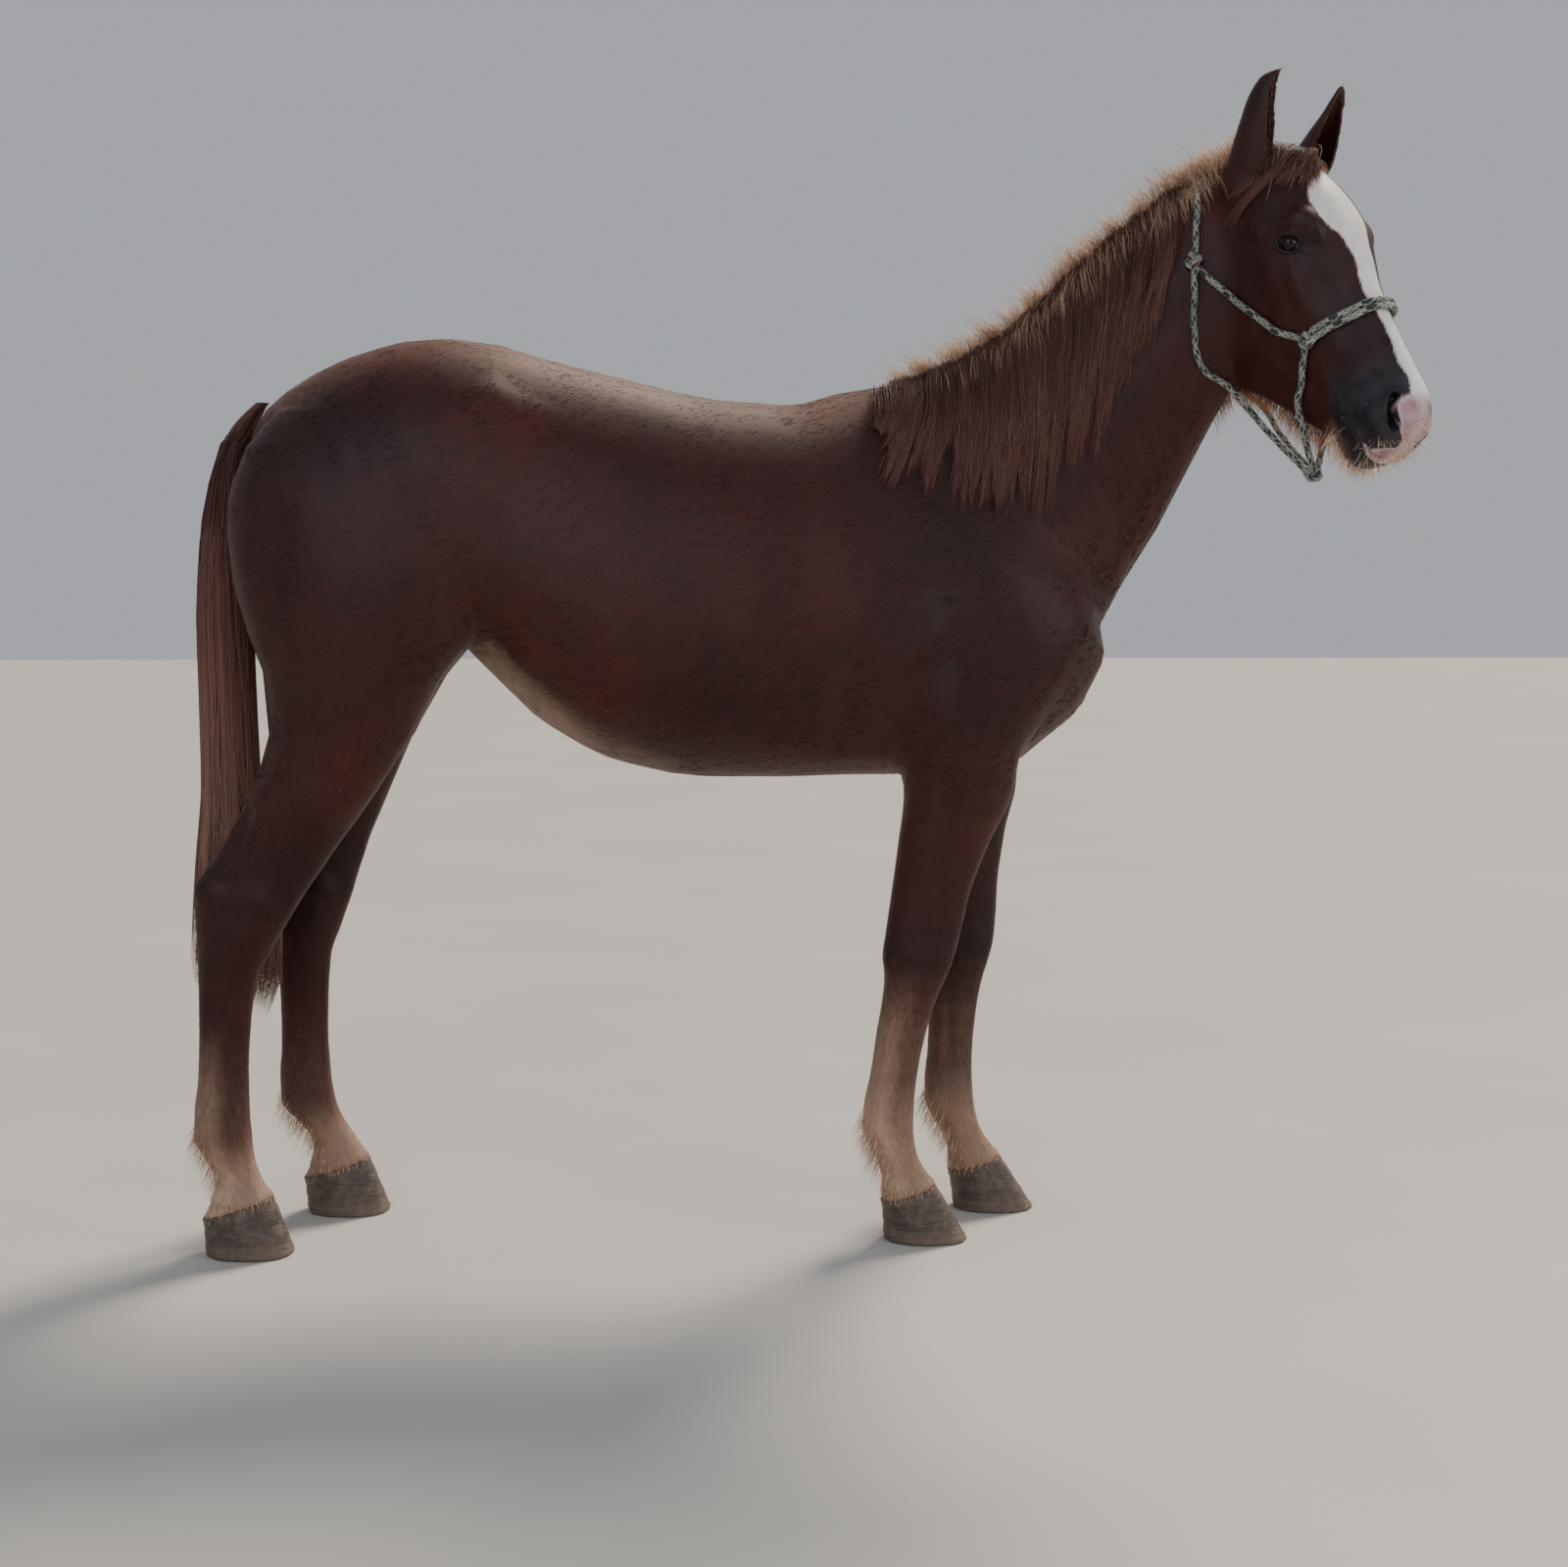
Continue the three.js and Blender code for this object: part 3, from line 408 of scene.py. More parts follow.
def head_ring(s_place, sides=80):
    c, s = turns(sides)
    front, jaw, *widths = head(s_place)
    share = (1 - power(s, 0.9)) / 2
    y = smooth_through(HEAD_DEPTHS, widths)(share) * power(c, HEAD_ROUNDNESS)
    return in_head(columns(s_place, y, front + (jaw - front) * share))


def leg_ring(at, lead, side, z, sides=48, grow=0.0):
    c, s = turns(sides)
    back, front, out, half, tip = at(z)
    middle = (back + front) / 2 + (lead(z) if side > 0 else 0)
    along = ((front - back) / 2 + grow) * power(c, 0.92)
    return columns(middle + along, side * out + (half + grow) * power(s, 0.92), z + tip * along)


def ear_axes(side):
    mirror = np.array([1, side, 1])
    foot, tip = in_head(EAR_FOOT * mirror), in_head(EAR_TIPS[side] * mirror)
    along = unit(tip - foot)
    open_way = in_head(1, side * -0.45, 0.2) - POLL
    open_way = unit(open_way - along * (open_way @ along))
    return foot, np.linalg.norm(tip - foot), along, open_way, np.cross(along, open_way)


def ear_place(side, share, degrees, inwards):
    """A place on the ear's leaf: up its length, round its curl, and in from its outer face."""
    foot, length, along, open_way, across = ear_axes(side)
    half, curl, bow = ears[side](share)
    radius = np.maximum(half * 0.25, half - inwards)
    turn = np.radians(degrees)
    return (foot + along * share * length + open_way * bow
            + (-open_way * EAR_DEEP * np.cos(turn) + across * np.sin(turn)) * radius)


def ear_rings(side):
    rings = []
    for share in np.linspace(0, 0.992, 70):
        curl = ears[side](share)[1]
        spread = np.linspace(-curl, curl, 25)
        rings.append(
            [ear_place(side, share, d, 1.2) for d in spread]
            + [ear_place(side, share, d * 0.97, 1.2 + EAR_THICKNESS) for d in spread[::-1]])
    return rings


def ear_root_rings(side, sides=40):
    foot, length, along, _, _ = ear_axes(side)
    inwards = -side * HEAD_AXES[1]
    inwards = unit(inwards - along * (inwards @ along))
    across = np.cross(along, inwards)
    c, s = turns(sides)
    rings = []
    for share in np.linspace(-0.42, 0.16, 24):
        half, inset = ear_root(share)
        rings.append(foot + along * share * length + inwards * inset
                     + (half - 2) * (np.outer(c, inwards) + np.outer(s, across)))
    return rings


def brow_rings(side, sides=40):
    c, s = turns(sides)
    rings = []
    for lean in np.linspace(-0.96, 0.96, 24):
        wide = math.sqrt(1 - lean * lean)
        rings.append(in_head(BROW * [1, side, 1] + BROW_SIZE * columns(lean, wide * c, wide * s)))
    return rings


# -------------------------------------------------------------------- skin

VOXEL = 0.0032
SKIN_TRIANGLES = 108000


def closeness(points, line, radius, fade=0.0):
    """1 on a line of points, falling smoothly to 0 at the radius, and over a share at its ends."""
    line = np.atleast_2d(np.asarray(line, float))
    low, high = line.min(0) - radius, line.max(0) + radius
    near = np.where(((points > low) & (points < high)).all(1))[0]
    out = np.zeros(len(points))
    if not len(near):
        return out
    p = points[near]
    best, where = np.full(len(near), np.inf), np.zeros(len(near))
    spans = max(len(line) - 1, 1)
    for k in range(spans):
        a, b = line[k], line[min(k + 1, len(line) - 1)]
        ab = b - a
        t = np.clip((p - a) @ ab / max(ab @ ab, 1e-9), 0, 1)
        away = ((p - a - t[:, None] * ab) ** 2).sum(1)
        where = np.where(away < best, (k + t) / spans, where)
        best = np.minimum(best, away)
    out[near] = np.clip(1 - best / radius**2, 0, 1) ** 2
    if fade:
        out[near] *= between(where, 0, fade) * between(where, 1, 1 - fade)
    return out


class Net:
    """Which vertices of a mesh are joined, for smoothing."""

    def __init__(self, mesh):
        one, other = read(mesh.edges, "vertices", 2, np.int32).reshape(-1, 2).T
        start = np.concatenate([one, other])
        self.ends = np.concatenate([other, one])[np.argsort(start, kind="stable")]
        self.count = np.bincount(start, minlength=len(mesh.vertices))
        self.starts = np.concatenate([[0], np.cumsum(self.count)[:-1]])
        self.rows = slice(None)

    def part(self, rows):
        """The same for some of the vertices only."""
        some = object.__new__(Net)
        some.rows, some.count = rows, self.count[rows]
        some.starts = np.concatenate([[0], np.cumsum(some.count)[:-1]])
        shift = np.repeat(self.starts[rows] - some.starts, some.count)
        some.ends = self.ends[shift + np.arange(some.count.sum())]
        return some

    def pull(self, values):
        """From each vertex to the mean of its neighbours."""
        total = np.add.reduceat(values[self.ends], self.starts, axis=0)
        return total / self.count[:, None] - values[self.rows]

    def smoothed(self, points, times, *shares):
        """The points drawn towards their neighbours by each share in turn, so many times over."""
        for share in shares * times:
            points = points + share * self.pull(points)
        return points


def right_handed(points):
    """Both sides of the body laid on one: x with the left legs' lead taken off, distance out, z."""
    x, y, z = points.T
    lead = np.where(x < -250, hind_lead(z), fore_lead(z)) * (y > 0)
    return columns(x - lead, np.abs(y), z)


# Muscle, bone and hollow on the side of the body: line of (x, z), reach, height.
SIDE_FORMS = [
    ([(165, 1300), (290, 1140), (410, 1015)], 60, 5),  # spine of the shoulder blade
    ([(40, 1240), (110, 1080), (140, 960)], 70, -6),  # behind the shoulder
    ([(205, 1010), (250, 960)], 120, 9),  # triceps
    ([(120, 905)], 45, 6),  # elbow
    ([(112, 1000), (96, 900), (84, 800)], 44, -9),  # girth, behind the elbow
    ([(340, 1280), (420, 1160), (470, 1080)], 48, -6),  # between neck and shoulder
    ([(455, 1010)], 60, 7),  # point of the shoulder
    ([(-420, 1190)], 130, -10),  # hollow of the flank
    ([(-425, 1392), (-500, 1335)], 52, 9),  # point of the hip
    ([(-400, 980), (-480, 890)], 46, 5),  # fold from flank to stifle
    ([(-500, 905)], 52, 6),  # stifle
    ([(-560, 1080)], 150, 7),  # quadriceps
    ([(-640, 1330), (-720, 1290)], 150, 5),  # croup
    ([(-765, 1270), (-790, 1080), (-765, 900)], 34, -7),  # hamstring line
    ([(-815, 1090), (-800, 940)], 60, 4),
    ([(-730, 790), (-715, 700)], 62, 6),  # gaskin
    ([(-842, 750), (-884, 648)], 24, -8),  # hollow before the hock's tendon
    ([(-926, 602)], 32, 5),  # point of the hock
    ([(-886, 612)], 24, -4),
    ([(-828, 578)], 30, 5),  # joint of the hock
    ([(-852, 520)], 28, 3),
    ([(-800, 610), (-812, 560)], 26, -3),
    ([(-913, 500), (-918, 380), (-924, 215)], 15, -4.5),  # between cannon and tendons
    ([(-944, 196)], 26, 4),  # back of the fetlock
    ([(-878, 196)], 24, 2.5),
    ([(320, 800), (300, 700)], 70, 6),  # forearm, in front
    ([(215, 800), (215, 690)], 50, 4),  # forearm, behind
    ([(255, 820), (248, 640), (235, 560)], 22, -5),  # groove between them
    ([(262, 462)], 34, 3),  # knee
    ([(160, 466)], 22, 6),  # bone behind the knee
    ([(192, 480), (188, 430)], 18, -3),
    ([(188, 425), (178, 330), (162, 215)], 15, -4.5),  # between cannon and tendons
    ([(138, 190)], 24, 4),  # back of the fetlock
    ([(205, 192)], 24, 2.5),
    ([(470, 1010), (502, 1080), (542, 1155), (578, 1235), (612, 1310)], 30, -6),  # jugular groove
    ([(430, 1080), (470, 1170), (515, 1260), (560, 1350)], 44, 4),  # muscle above it
]
# The same on the breast: line of (distance out, z), reach, height.
FRONT_FORMS = [
    ([(0, 1060), (0, 880)], 26, -9),  # between the breast muscles
    ([(62, 970)], 64, 9),
]
# And on the head, in its own axes: line of (s, distance out, z), reach, height.
HEAD_FORMS = [
    ([(180, 92, -60), (205, 88, -62), (240, 78, -70), (290, 64, -84)], 22, 5),  # facial crest
    # edge of the cheek muscle
    ([(206, 86, -96), (236, 76, -140), (246, 70, -200), (232, 62, -262)], 18, -4),
    ([(160, 84, -190)], 80, 4),  # cheek
    # brow over the eye
    ([(132, 92, -62), (128, 94, -46), (134, 94, -28), (152, 94, -14), (172, 88, -14)], 18, 4),
    ([(102, 88, -36)], 34, -5),  # hollow of the temple
    ([(132, 94, -72), (112, 96, -84), (84, 90, -96)], 22, 5),  # arch from eye to ear
    ([(192, 94, -74)], 22, -3),
    # beside the nasal bone
    ([(205, 84, -34), (250, 68, -34), (310, 56, -38), (385, 50, -38)], 30, -4),
    ([(395, 48, -40)], 22, -3),
    ([(300, 60, -150), (360, 50, -130)], 26, -3),  # hollow of the cheek before the jaw
    # crease at the lips
    ([(372, 52, -112), (394, 50, -107), (412, 48, -113), (428, 42, -130)], 7, -2.2),
    ([(380, 52, -102), (404, 50, -100)], 8, 1.6),
    ([(438, 0, -164), (436, 22, -158)], 16, -4),  # chin groove
    ([(470, 0, -158), (470, 16, -156)], 22, 4),  # chin
    ([(455, 54, -62), (480, 52, -64)], 20, 3),  # upper lip
]
MOUTH = [(416, 46, -114), (428, 48, -106), (456, 50, -100), (481, 49, -97), (502, 43, -94),
         (511, 30, -91), (515, 14, -90), (516, 0, -90)]
NOSTRIL = [(449, 45, -18), (461, 51, -26), (475, 53, -33), (490, 46, -38)]


def near_side(points):
    """In the head's own axes, with its left laid on its right."""
    return to_head(points) * [1, 0, 1] + np.abs(to_head(points)) * [0, 1, 0]


def raise_forms(points, normals):
    """Muscle and bone over the plain lofts."""
    body = right_handed(points)
    face = near_side(points)
    on_head = between(face[:, 0], -40, 20) * (np.abs(face[:, 1]) < 140) * (points[:, 0] > 640)
    sideways = between(np.abs(normals[:, 1]), 0.15, 0.7)
    height = np.zeros(len(points))
    for line, reach, rise in SIDE_FORMS:
        near = closeness(body[:, [0, 2]], line, reach, 0.3 * (len(line) > 1))
        height += near * rise * sideways * (1 - on_head)
    front = between(points[:, 0], 380, 470) * between(normals[:, 0], 0.2, 0.6) * (1 - on_head)
    for line, reach, rise in FRONT_FORMS:
        height += closeness(body[:, [1, 2]], line, reach) * rise * front
    for line, reach, rise in HEAD_FORMS:
        height += closeness(face, line, reach, 0.3 * (len(line) > 2)) * rise * on_head
    coronet = closeness(points[:, [2]] * [1], [[93]], 12) * 2.2
    return points + normals * (height + coronet * (points[:, 2] < 130))[:, None]


def open_mouth_and_nostrils(points, normals):
    face = near_side(points)
    line = closeness(face, MOUTH, 5.5)
    height = 2.2 * (closeness(face, MOUTH, 15) - line) - 4.5 * line
    hole = between(closeness(face, NOSTRIL, 13), 0.22, 0.62)
    height += 4.0 * closeness(face, NOSTRIL, 24) * (1 - hole) - 22 * hole
    inwards = in_head(-0.55, 0, -0.25) - POLL
    return points + normals * height[:, None] + np.outer(hole * 10, unit(inwards))


# The eye looks forwards and outwards. Rows: along the opening from its back corner to its inner
# one, up, and outwards, in the right eye's head axes; then half its length and the heights of its
# lids, measured over the ball.
EYE_AXES = np.array([[0.632, 0.591, 0.5015], [-0.6425, 0.0375, 0.7655], [0.433, -0.806, 0.403]])
EYE_LONG, UPPER_LID, LOWER_LID = 22.0, 12.6, 13.2
LID = 2.0  # how thick the lids are
EYE_FRONT = EYE + 15 * EYE_AXES[2] * [1, -1, 1]


def fine_places(face, eye, nostril, mouth):
    """1 at the eyes, the nostrils and the lips, falling to 0 so far from each."""
    return np.maximum.reduce([closeness(face, [EYE_FRONT], eye), closeness(face, NOSTRIL, nostril),
                              closeness(face, MOUTH, mouth)])


def eye_share(points, side):
    """Where points lie on and about an eye: along and up its opening over the ball, distance from
    the ball's middle, and 1 on the rim of the lids, less inside."""
    local = ((to_head(points) - EYE * [1, side, 1]) * [1, -side, 1]) @ EYE_AXES.T
    far = np.linalg.norm(local, axis=1)
    turn = np.arccos(np.clip(local[:, 2] / np.maximum(far, 1e-6), -1, 1)) * EYE_RADIUS
    flat = np.maximum(np.hypot(local[:, 0], local[:, 1]), 1e-6)
    u, v = local[:, 0] / flat * turn, local[:, 1] / flat * turn
    x = u / EYE_LONG
    y = np.abs(v) / np.where(v > 0, UPPER_LID, LOWER_LID * (1 - 0.16 * np.clip(x, -1, 1)))
    return local, far, u, v, (np.abs(x) ** 2 + y**1.45) ** 0.6


def set_lids(points):
    """Lays the skin over each eyeball as two lids round an almond opening."""
    out = points.copy()
    for side in (-1, 1):
        local, far, u, v, share = eye_share(points, side)
        turn = np.hypot(u, v)
        rim = turn / np.maximum(share, 1e-6)
        near = np.where((far < 50) & (local[:, 2] > -20) & (turn - rim < 18))[0]
        far, u, v, turn, rim = far[near], u[near], v[near], turn[near], rim[near]
        beyond = turn - rim  # millimetres over the ball, outwards from the rim of the lids
        beyond *= 0.5 + 0.5 * np.clip(np.abs(beyond) / 9, 0, 1)
        scale = (rim + beyond) / np.maximum(turn, 1e-6)
        u, v, turn = u * scale, v * scale, turn * scale
        flat = columns(u, v) / np.maximum(turn, 1e-6)[:, None]
        away = np.column_stack([
            flat * np.sin(turn / EYE_RADIUS)[:, None], np.cos(turn / EYE_RADIUS)])
        up = between(v, -3, 5)

        def fold(middle, width):
            return closeness(beyond[:, None], [[middle]], width)

        lid = EYE_RADIUS + LID + 0.4 * fold(1.6, 1.8) + 1.5 * fold(6.0, 3.2) * (0.1 + 0.9 * up)
        hold = 1 - between(beyond, 3.0, 13.0)
        new = lid * hold + far * (1 - hold)
        new -= 1.8 * fold(6.6, 1.6) * up + 0.9 * fold(10.2, 1.6) * up
        new -= 0.9 * fold(6.2, 1.5) * (1 - up)
        inside = 1 - between(beyond, -0.9, 0.35)
        new = new * (1 - inside) + (EYE_RADIUS - 5.5) * inside
        there = (away * new[:, None]) @ EYE_AXES * [1, -side, 1] + EYE * [1, side, 1]
        out[near] = in_head(there)
    return out


def joined(parts):
    """One mesh's points and faces from several lofts."""
    sizes = np.cumsum([0] + [len(points) for points, _, _ in parts])
    return (np.vstack([points for points, _, _ in parts]),
            np.vstack([quads + base for (_, quads, _), base in zip(parts, sizes)]),
            np.vstack([fans + base for (_, _, fans), base in zip(parts, sizes)]))


def make_skin():
    """One skin over trunk, neck, head, ears and legs."""
    along_trunk = np.unique(np.concatenate([np.linspace(-866, 510, 90), [-862, -850, 500, 506]]))
    along_head = np.unique(np.concatenate([np.linspace(-30, 511, 110), [505, 508]]))
    parts = [loft([trunk_ring(x) for x in along_trunk]),
             loft([neck_ring(share) for share in np.linspace(0, 1, 60)]),
             loft([head_ring(s) for s in along_head])]
    for side in (-1, 1):
        for leg, lead, foot, top in (
                (hind_leg, hind_lead, 78, 1350), (fore_leg, fore_lead, 80, 1270)):
            parts.append(loft([leg_ring(leg, lead, side, z) for z in np.linspace(foot, top, 150)]))
        parts += [loft(ear_rings(side)), loft(ear_root_rings(side)), loft(brow_rings(side))]
    points, quads, fans = joined(parts)
    skin = object_of(mesh_of("skin", placed(points), quads, fans))
    remesh = skin.modifiers.new("one skin", "REMESH")
    remesh.mode, remesh.voxel_size = "VOXEL", VOXEL
    mesh = finished_mesh(skin)
    net = Net(mesh)

    # Take off the grid's steps, then fill the creases where the lofts meet, hollows only.
    points = net.smoothed(unplaced(points_of(mesh)), 4, 0.5, -0.52)
    body = right_handed(points)
    face = near_side(points)
    fill = np.maximum.reduce([
        closeness(body[:, [0, 2]], [(300, 880), (300, 1150)], 330),
        closeness(body[:, [0, 2]], [(-560, 900), (-640, 1350)], 420),
        closeness(body[:, [0, 2]], [(250, 1440), (560, 1020)], 260),
        closeness(points, [in_head(-20, 0, -90), in_head(70, 0, -200)], 230),
    ])
    ears = between(face[:, 2] - face[:, 0] * 1.2, -60, -30)
    ears = ears * (face[:, 0] < 40) * (face[:, 1] > 30) * (points[:, 0] > 600)
    points = net.smoothed(points, 20, 0.6 * ears[:, None], -0.58 * ears[:, None])
    fill = np.clip(fill * 1.6, 0, 1) * (1 - np.clip(ears, 0, 1))
    fill = np.maximum.reduce([
        fill, closeness(face, [EAR_FOOT], 46) * 0.7, closeness(face, [BROW], 70)])
    fill = np.clip(fill, 0, 1)
    move_to(mesh, points)
    for _ in range(4):
        normals = normals_of(mesh)
        hollow = np.einsum("ij,ij->i", net.pull(points), normals) > -0.05
        rows = np.where((fill > 0.04) & hollow)[0]
        some = net.part(rows)
        for _ in range(40):
            pull = some.pull(points)
            out = np.einsum("ij,ij->i", pull, normals[rows])
            points[rows] += pull * (np.clip(out * 40, 0, 1) * fill[rows] * 0.9)[:, None]
        move_to(mesh, points)
    points = net.smoothed(points, 6, (0.5 * fill)[:, None])
    move_to(mesh, points)
    points = net.smoothed(raise_forms(points, normals_of(mesh)), 2, 0.35)
    move_to(mesh, points)

    # Fewer, larger faces where the body is smooth; the head keeps its own.
    keep = (points[:, 0] > 640) * between(points[:, 0] + points[:, 2] * 0.2, 960, 1060)
    weight = np.clip(1 - 0.55 * keep - 2 * fine_places(near_side(points), 60, 40, 26), 0, 1)
    feet = points[:, 2] < 760
    weight[feet] = np.minimum(weight[feet], 0.75)
    weight = np.round(weight, 1)
    group = skin.vertex_groups.new(name="thin")
    for level in np.unique(weight):
        group.add(np.where(weight == level)[0].tolist(), float(level), "REPLACE")
    thin = skin.modifiers.new("thin", "DECIMATE")
    thin.ratio = SKIN_TRIANGLES / (2 * len(mesh.polygons))
    thin.vertex_group, thin.vertex_group_factor = "thin", 1.0
    mesh = finished_mesh(skin)

    # Finer faces where lids, nostrils and lips are folded.
    work = bmesh.new()
    work.from_mesh(mesh)
    bmesh.ops.triangulate(work, faces=work.faces)
    for shrink in (1.0, 0.86):
        work.verts.ensure_lookup_table()
        work.verts.index_update()
        face = near_side(unplaced(np.array([v.co for v in work.verts])))
        inside = fine_places(face, 44 * shrink, 30 * shrink, 15 * shrink) > 0.02
        edges = [
            e for e in work.edges
            if inside[e.verts[0].index] and inside[e.verts[1].index] and e.calc_length() > 0.0011]
        bmesh.ops.subdivide_edges(work, edges=edges, cuts=1, use_grid_fill=True)
        bmesh.ops.triangulate(work, faces=[f for f in work.faces if len(f.verts) > 3])
    work.to_mesh(mesh)
    work.free()
    net = Net(mesh)
    points = unplaced(points_of(mesh))
    face = near_side(points)
    fine = np.clip(4 * fine_places(face, 46, 34, 20), 0, 1)
    points = set_lids(net.smoothed(points, 6, 0.5 * fine[:, None]))
    move_to(mesh, points)
    points = open_mouth_and_nostrils(points, normals_of(mesh))
    points = net.smoothed(points, 2, 0.3 * (fine * (1 - closeness(face, [EYE_FRONT], 48)))[:, None])
    move_to(mesh, points)
    mesh.shade_smooth()
    mesh.name = "skin"
    return skin


# ---- look ------------------------------------------------- nodes and colours


def linear(code):
    """An sRGB hex colour as linear RGBA."""
    parts = np.array([int(code[i:i + 2], 16) for i in (1, 3, 5)]) / 255
    light = np.where(parts <= 0.04045, parts / 12.92, ((parts + 0.055) / 1.055) ** 2.4)
    return (*light.tolist(), 1.0)


def node(tree, kind, links=(), stops=(), **settings):
    """Adds a node to a tree. `kind` is a shader node's unless it says otherwise, and may have its
    operation after it. Links are its inputs, by place or name: numbers, hex colours, sockets, or
    nodes whose first output in use is meant. Stops are a ramp's places and colours."""
    kind, *operation = kind.split()
    new = tree.nodes.new(kind if "Node" in kind else "ShaderNode" + kind)
    if operation:
        settings["operation"] = operation[0]
    for name, value in settings.items():
        setattr(new, name, value)
    for key, value in links.items() if isinstance(links, dict) else enumerate(links):
        if isinstance(value, bpy.types.Node):
            value = next(socket for socket in value.outputs if socket.enabled)
        if isinstance(value, bpy.types.NodeSocket):
            tree.links.new(value, new.inputs[key])
        else:
            is_colour = isinstance(value, str) and value.startswith("#")
            new.inputs[key].default_value = linear(value) if is_colour else value
    for _ in stops[2:]:
        new.color_ramp.elements.new(0.5)
    for number, (place, code) in enumerate(stops):
        element = new.color_ramp.elements[number]
        element.position, element.color = place, linear(code)
    return new


def material(name):
    """A new material, and the function that adds a node to it."""
    look = bpy.data.materials.new(name)
    look.use_nodes = True
    look.node_tree.nodes.clear()
    return look, partial(node, look.node_tree)


# ------------------------------------------------------------ regions and lie

TRUNK, NECK, HEAD, HIND_RIGHT, HIND_LEFT, FORE_RIGHT, FORE_LEFT, EAR_RIGHT, EAR_LEFT = range(9)
# Each region's place on the unwrap that the coat is laid out on, low and high corners.
SHEET = np.array([
    [0.01, 0.50, 0.62, 0.99], [0.64, 0.72, 0.99, 0.99], [0.01, 0.01, 0.36, 0.48],
    [0.38, 0.01, 0.52, 0.48], [0.54, 0.01, 0.68, 0.48], [0.70, 0.01, 0.84, 0.48],
    [0.86, 0.01, 0.99, 0.48], [0.64, 0.52, 0.80, 0.70], [0.83, 0.52, 0.99, 0.70]])
# How long and how far round each region is, in metres.
REACH = np.array([[1.42, 1.5], [0.66, 0.66], [0.57, 0.58], [0.95, 0.34], [0.95, 0.34], [0.76, 0.32],
                  [0.76, 0.32], [0.22, 0.18], [0.22, 0.18]])
PATCH = 0.003  # the width on the unwrap of one hair's or tuft's own patch
NECK_FOOT, NECK_TOP = np.array([290.0, 0.0, 1170.0]), np.array([690.0, -110.0, 1600.0])


def ear_local(points, side):
    """Share of the ear's length, and places across its opening and along it, in millimetres."""
    foot, length, along, open_way, across = ear_axes(side)
    p = points - foot
    share = p @ along / length
    half, _, bow = ears[side](np.clip(share, 0, 1))
    p = p - np.outer(bow, open_way)
    return share, p @ across, p @ open_way / EAR_DEEP, half


def past_neck(points):
    """How far beyond the join of neck and head points lie."""
    return (points - [634, -102, 1600]) @ [0.86, -0.5, 0.12]


def region_of(points):
    region = np.zeros(len(points), int)
    region[(points - [185, 0, 1400]) @ [0.803, 0, 0.597] > 0] = NECK
    region[past_neck(points) > 0] = HEAD
    left = points[:, 1] > 0
    region[(region == 0) & (points[:, 2] < 930) & (points[:, 0] < -536)] = HIND_RIGHT
    region[(region == 0) & (points[:, 2] < 752) & (points[:, 0] > 60)] = FORE_RIGHT
    region[left & (region >= HIND_RIGHT)] += 1
    for side, number in ((-1, EAR_RIGHT), (1, EAR_LEFT)):
        share, a, b, half = ear_local(points, side)
        region[(share > 0.1) & (np.hypot(a, b) < half + 9) & (region == HEAD)] = number
    return region


def unwrap(points, region):
    """Where points lie on their region: share along it and share round it."""
    out = np.zeros((len(points), 2))
    for number in np.unique(region):
        here = region == number
        p = points[here]
        if number == TRUNK:
            along, up, aside = (510 - p[:, 0]) / 1420, p[:, 2] - 1090, p[:, 1]
        elif number == NECK:
            way = unit(NECK_TOP - NECK_FOOT)
            over = unit(np.cross(way, [0, 1, 0]))
            p = p - NECK_FOOT
            along, up, aside = 1 - p @ way / 640, p @ over, -(p @ np.cross(over, way))
        elif number == HEAD:
            q = to_head(p)
            along, up, aside = (q[:, 0] + 45) / 570, q[:, 2] + 130, q[:, 1]
        elif number in (EAR_RIGHT, EAR_LEFT):
            share, a, b, _ = ear_local(p, -1 if number == EAR_RIGHT else 1)
            along, up, aside = share, -b, a
        else:
            side = 1 if number in (HIND_LEFT, FORE_LEFT) else -1
            hind = number in (HIND_RIGHT, HIND_LEFT)
            back, front, middle = (hind_leg if hind else fore_leg)(p[:, 2])[:3]
            lead = (hind_lead if hind else fore_lead)(p[:, 2]) if side > 0 else 0
            along = 1 - p[:, 2] / (950 if hind else 760)
            up, aside = side * p[:, 1] - middle, p[:, 0] - (back + front) / 2 - lead
        out[here] = columns(along, np.arctan2(aside, up) / (2 * math.pi) + 0.5)
    return out


def lie_map(places, region):
    """The unwrap in metres, turned so that its first axis runs along the hair."""
    size = REACH[region]
    along, round_ = places[:, 0] * size[:, 0], np.abs(places[:, 1] - 0.5) * size[:, 1]
    turn = np.radians(np.array([24, 42, 24, 4, 4, 4, 4, 0, 0]))[region]
    c, s = np.cos(turn), np.sin(turn)
    return columns(along * c + round_ * s, round_ * c - along * s)


def sheet_map(places, region):
    low, high = SHEET[region][:, :2], SHEET[region][:, 2:]
    return low + np.clip(places, 0, 1) * (high - low)


def lie(points, normals):
    """The way the hair points, along the skin."""
    region = region_of(points)
    way = columns(-1.0, 0.25 * np.sign(points[:, 1]), -0.42)
    way[region == NECK] = [-0.62, -0.05, -0.78]
    way[(region >= HIND_RIGHT) & (region <= FORE_LEFT)] = [-0.12, 0, -1]
    face = columns(1.0, 0.25 * np.sign(to_head(points)[:, 1]), -0.3) @ HEAD_AXES
    way[region == HEAD] = face[region == HEAD]
    for turn, number in ((-1, EAR_RIGHT), (1, EAR_LEFT)):
        way[region == number] = ear_axes(turn)[2]
    way -= normals * np.einsum("ij,ij->i", way, normals)[:, None]
    return unit(way)


# ---------------------------------------------------------------- markings

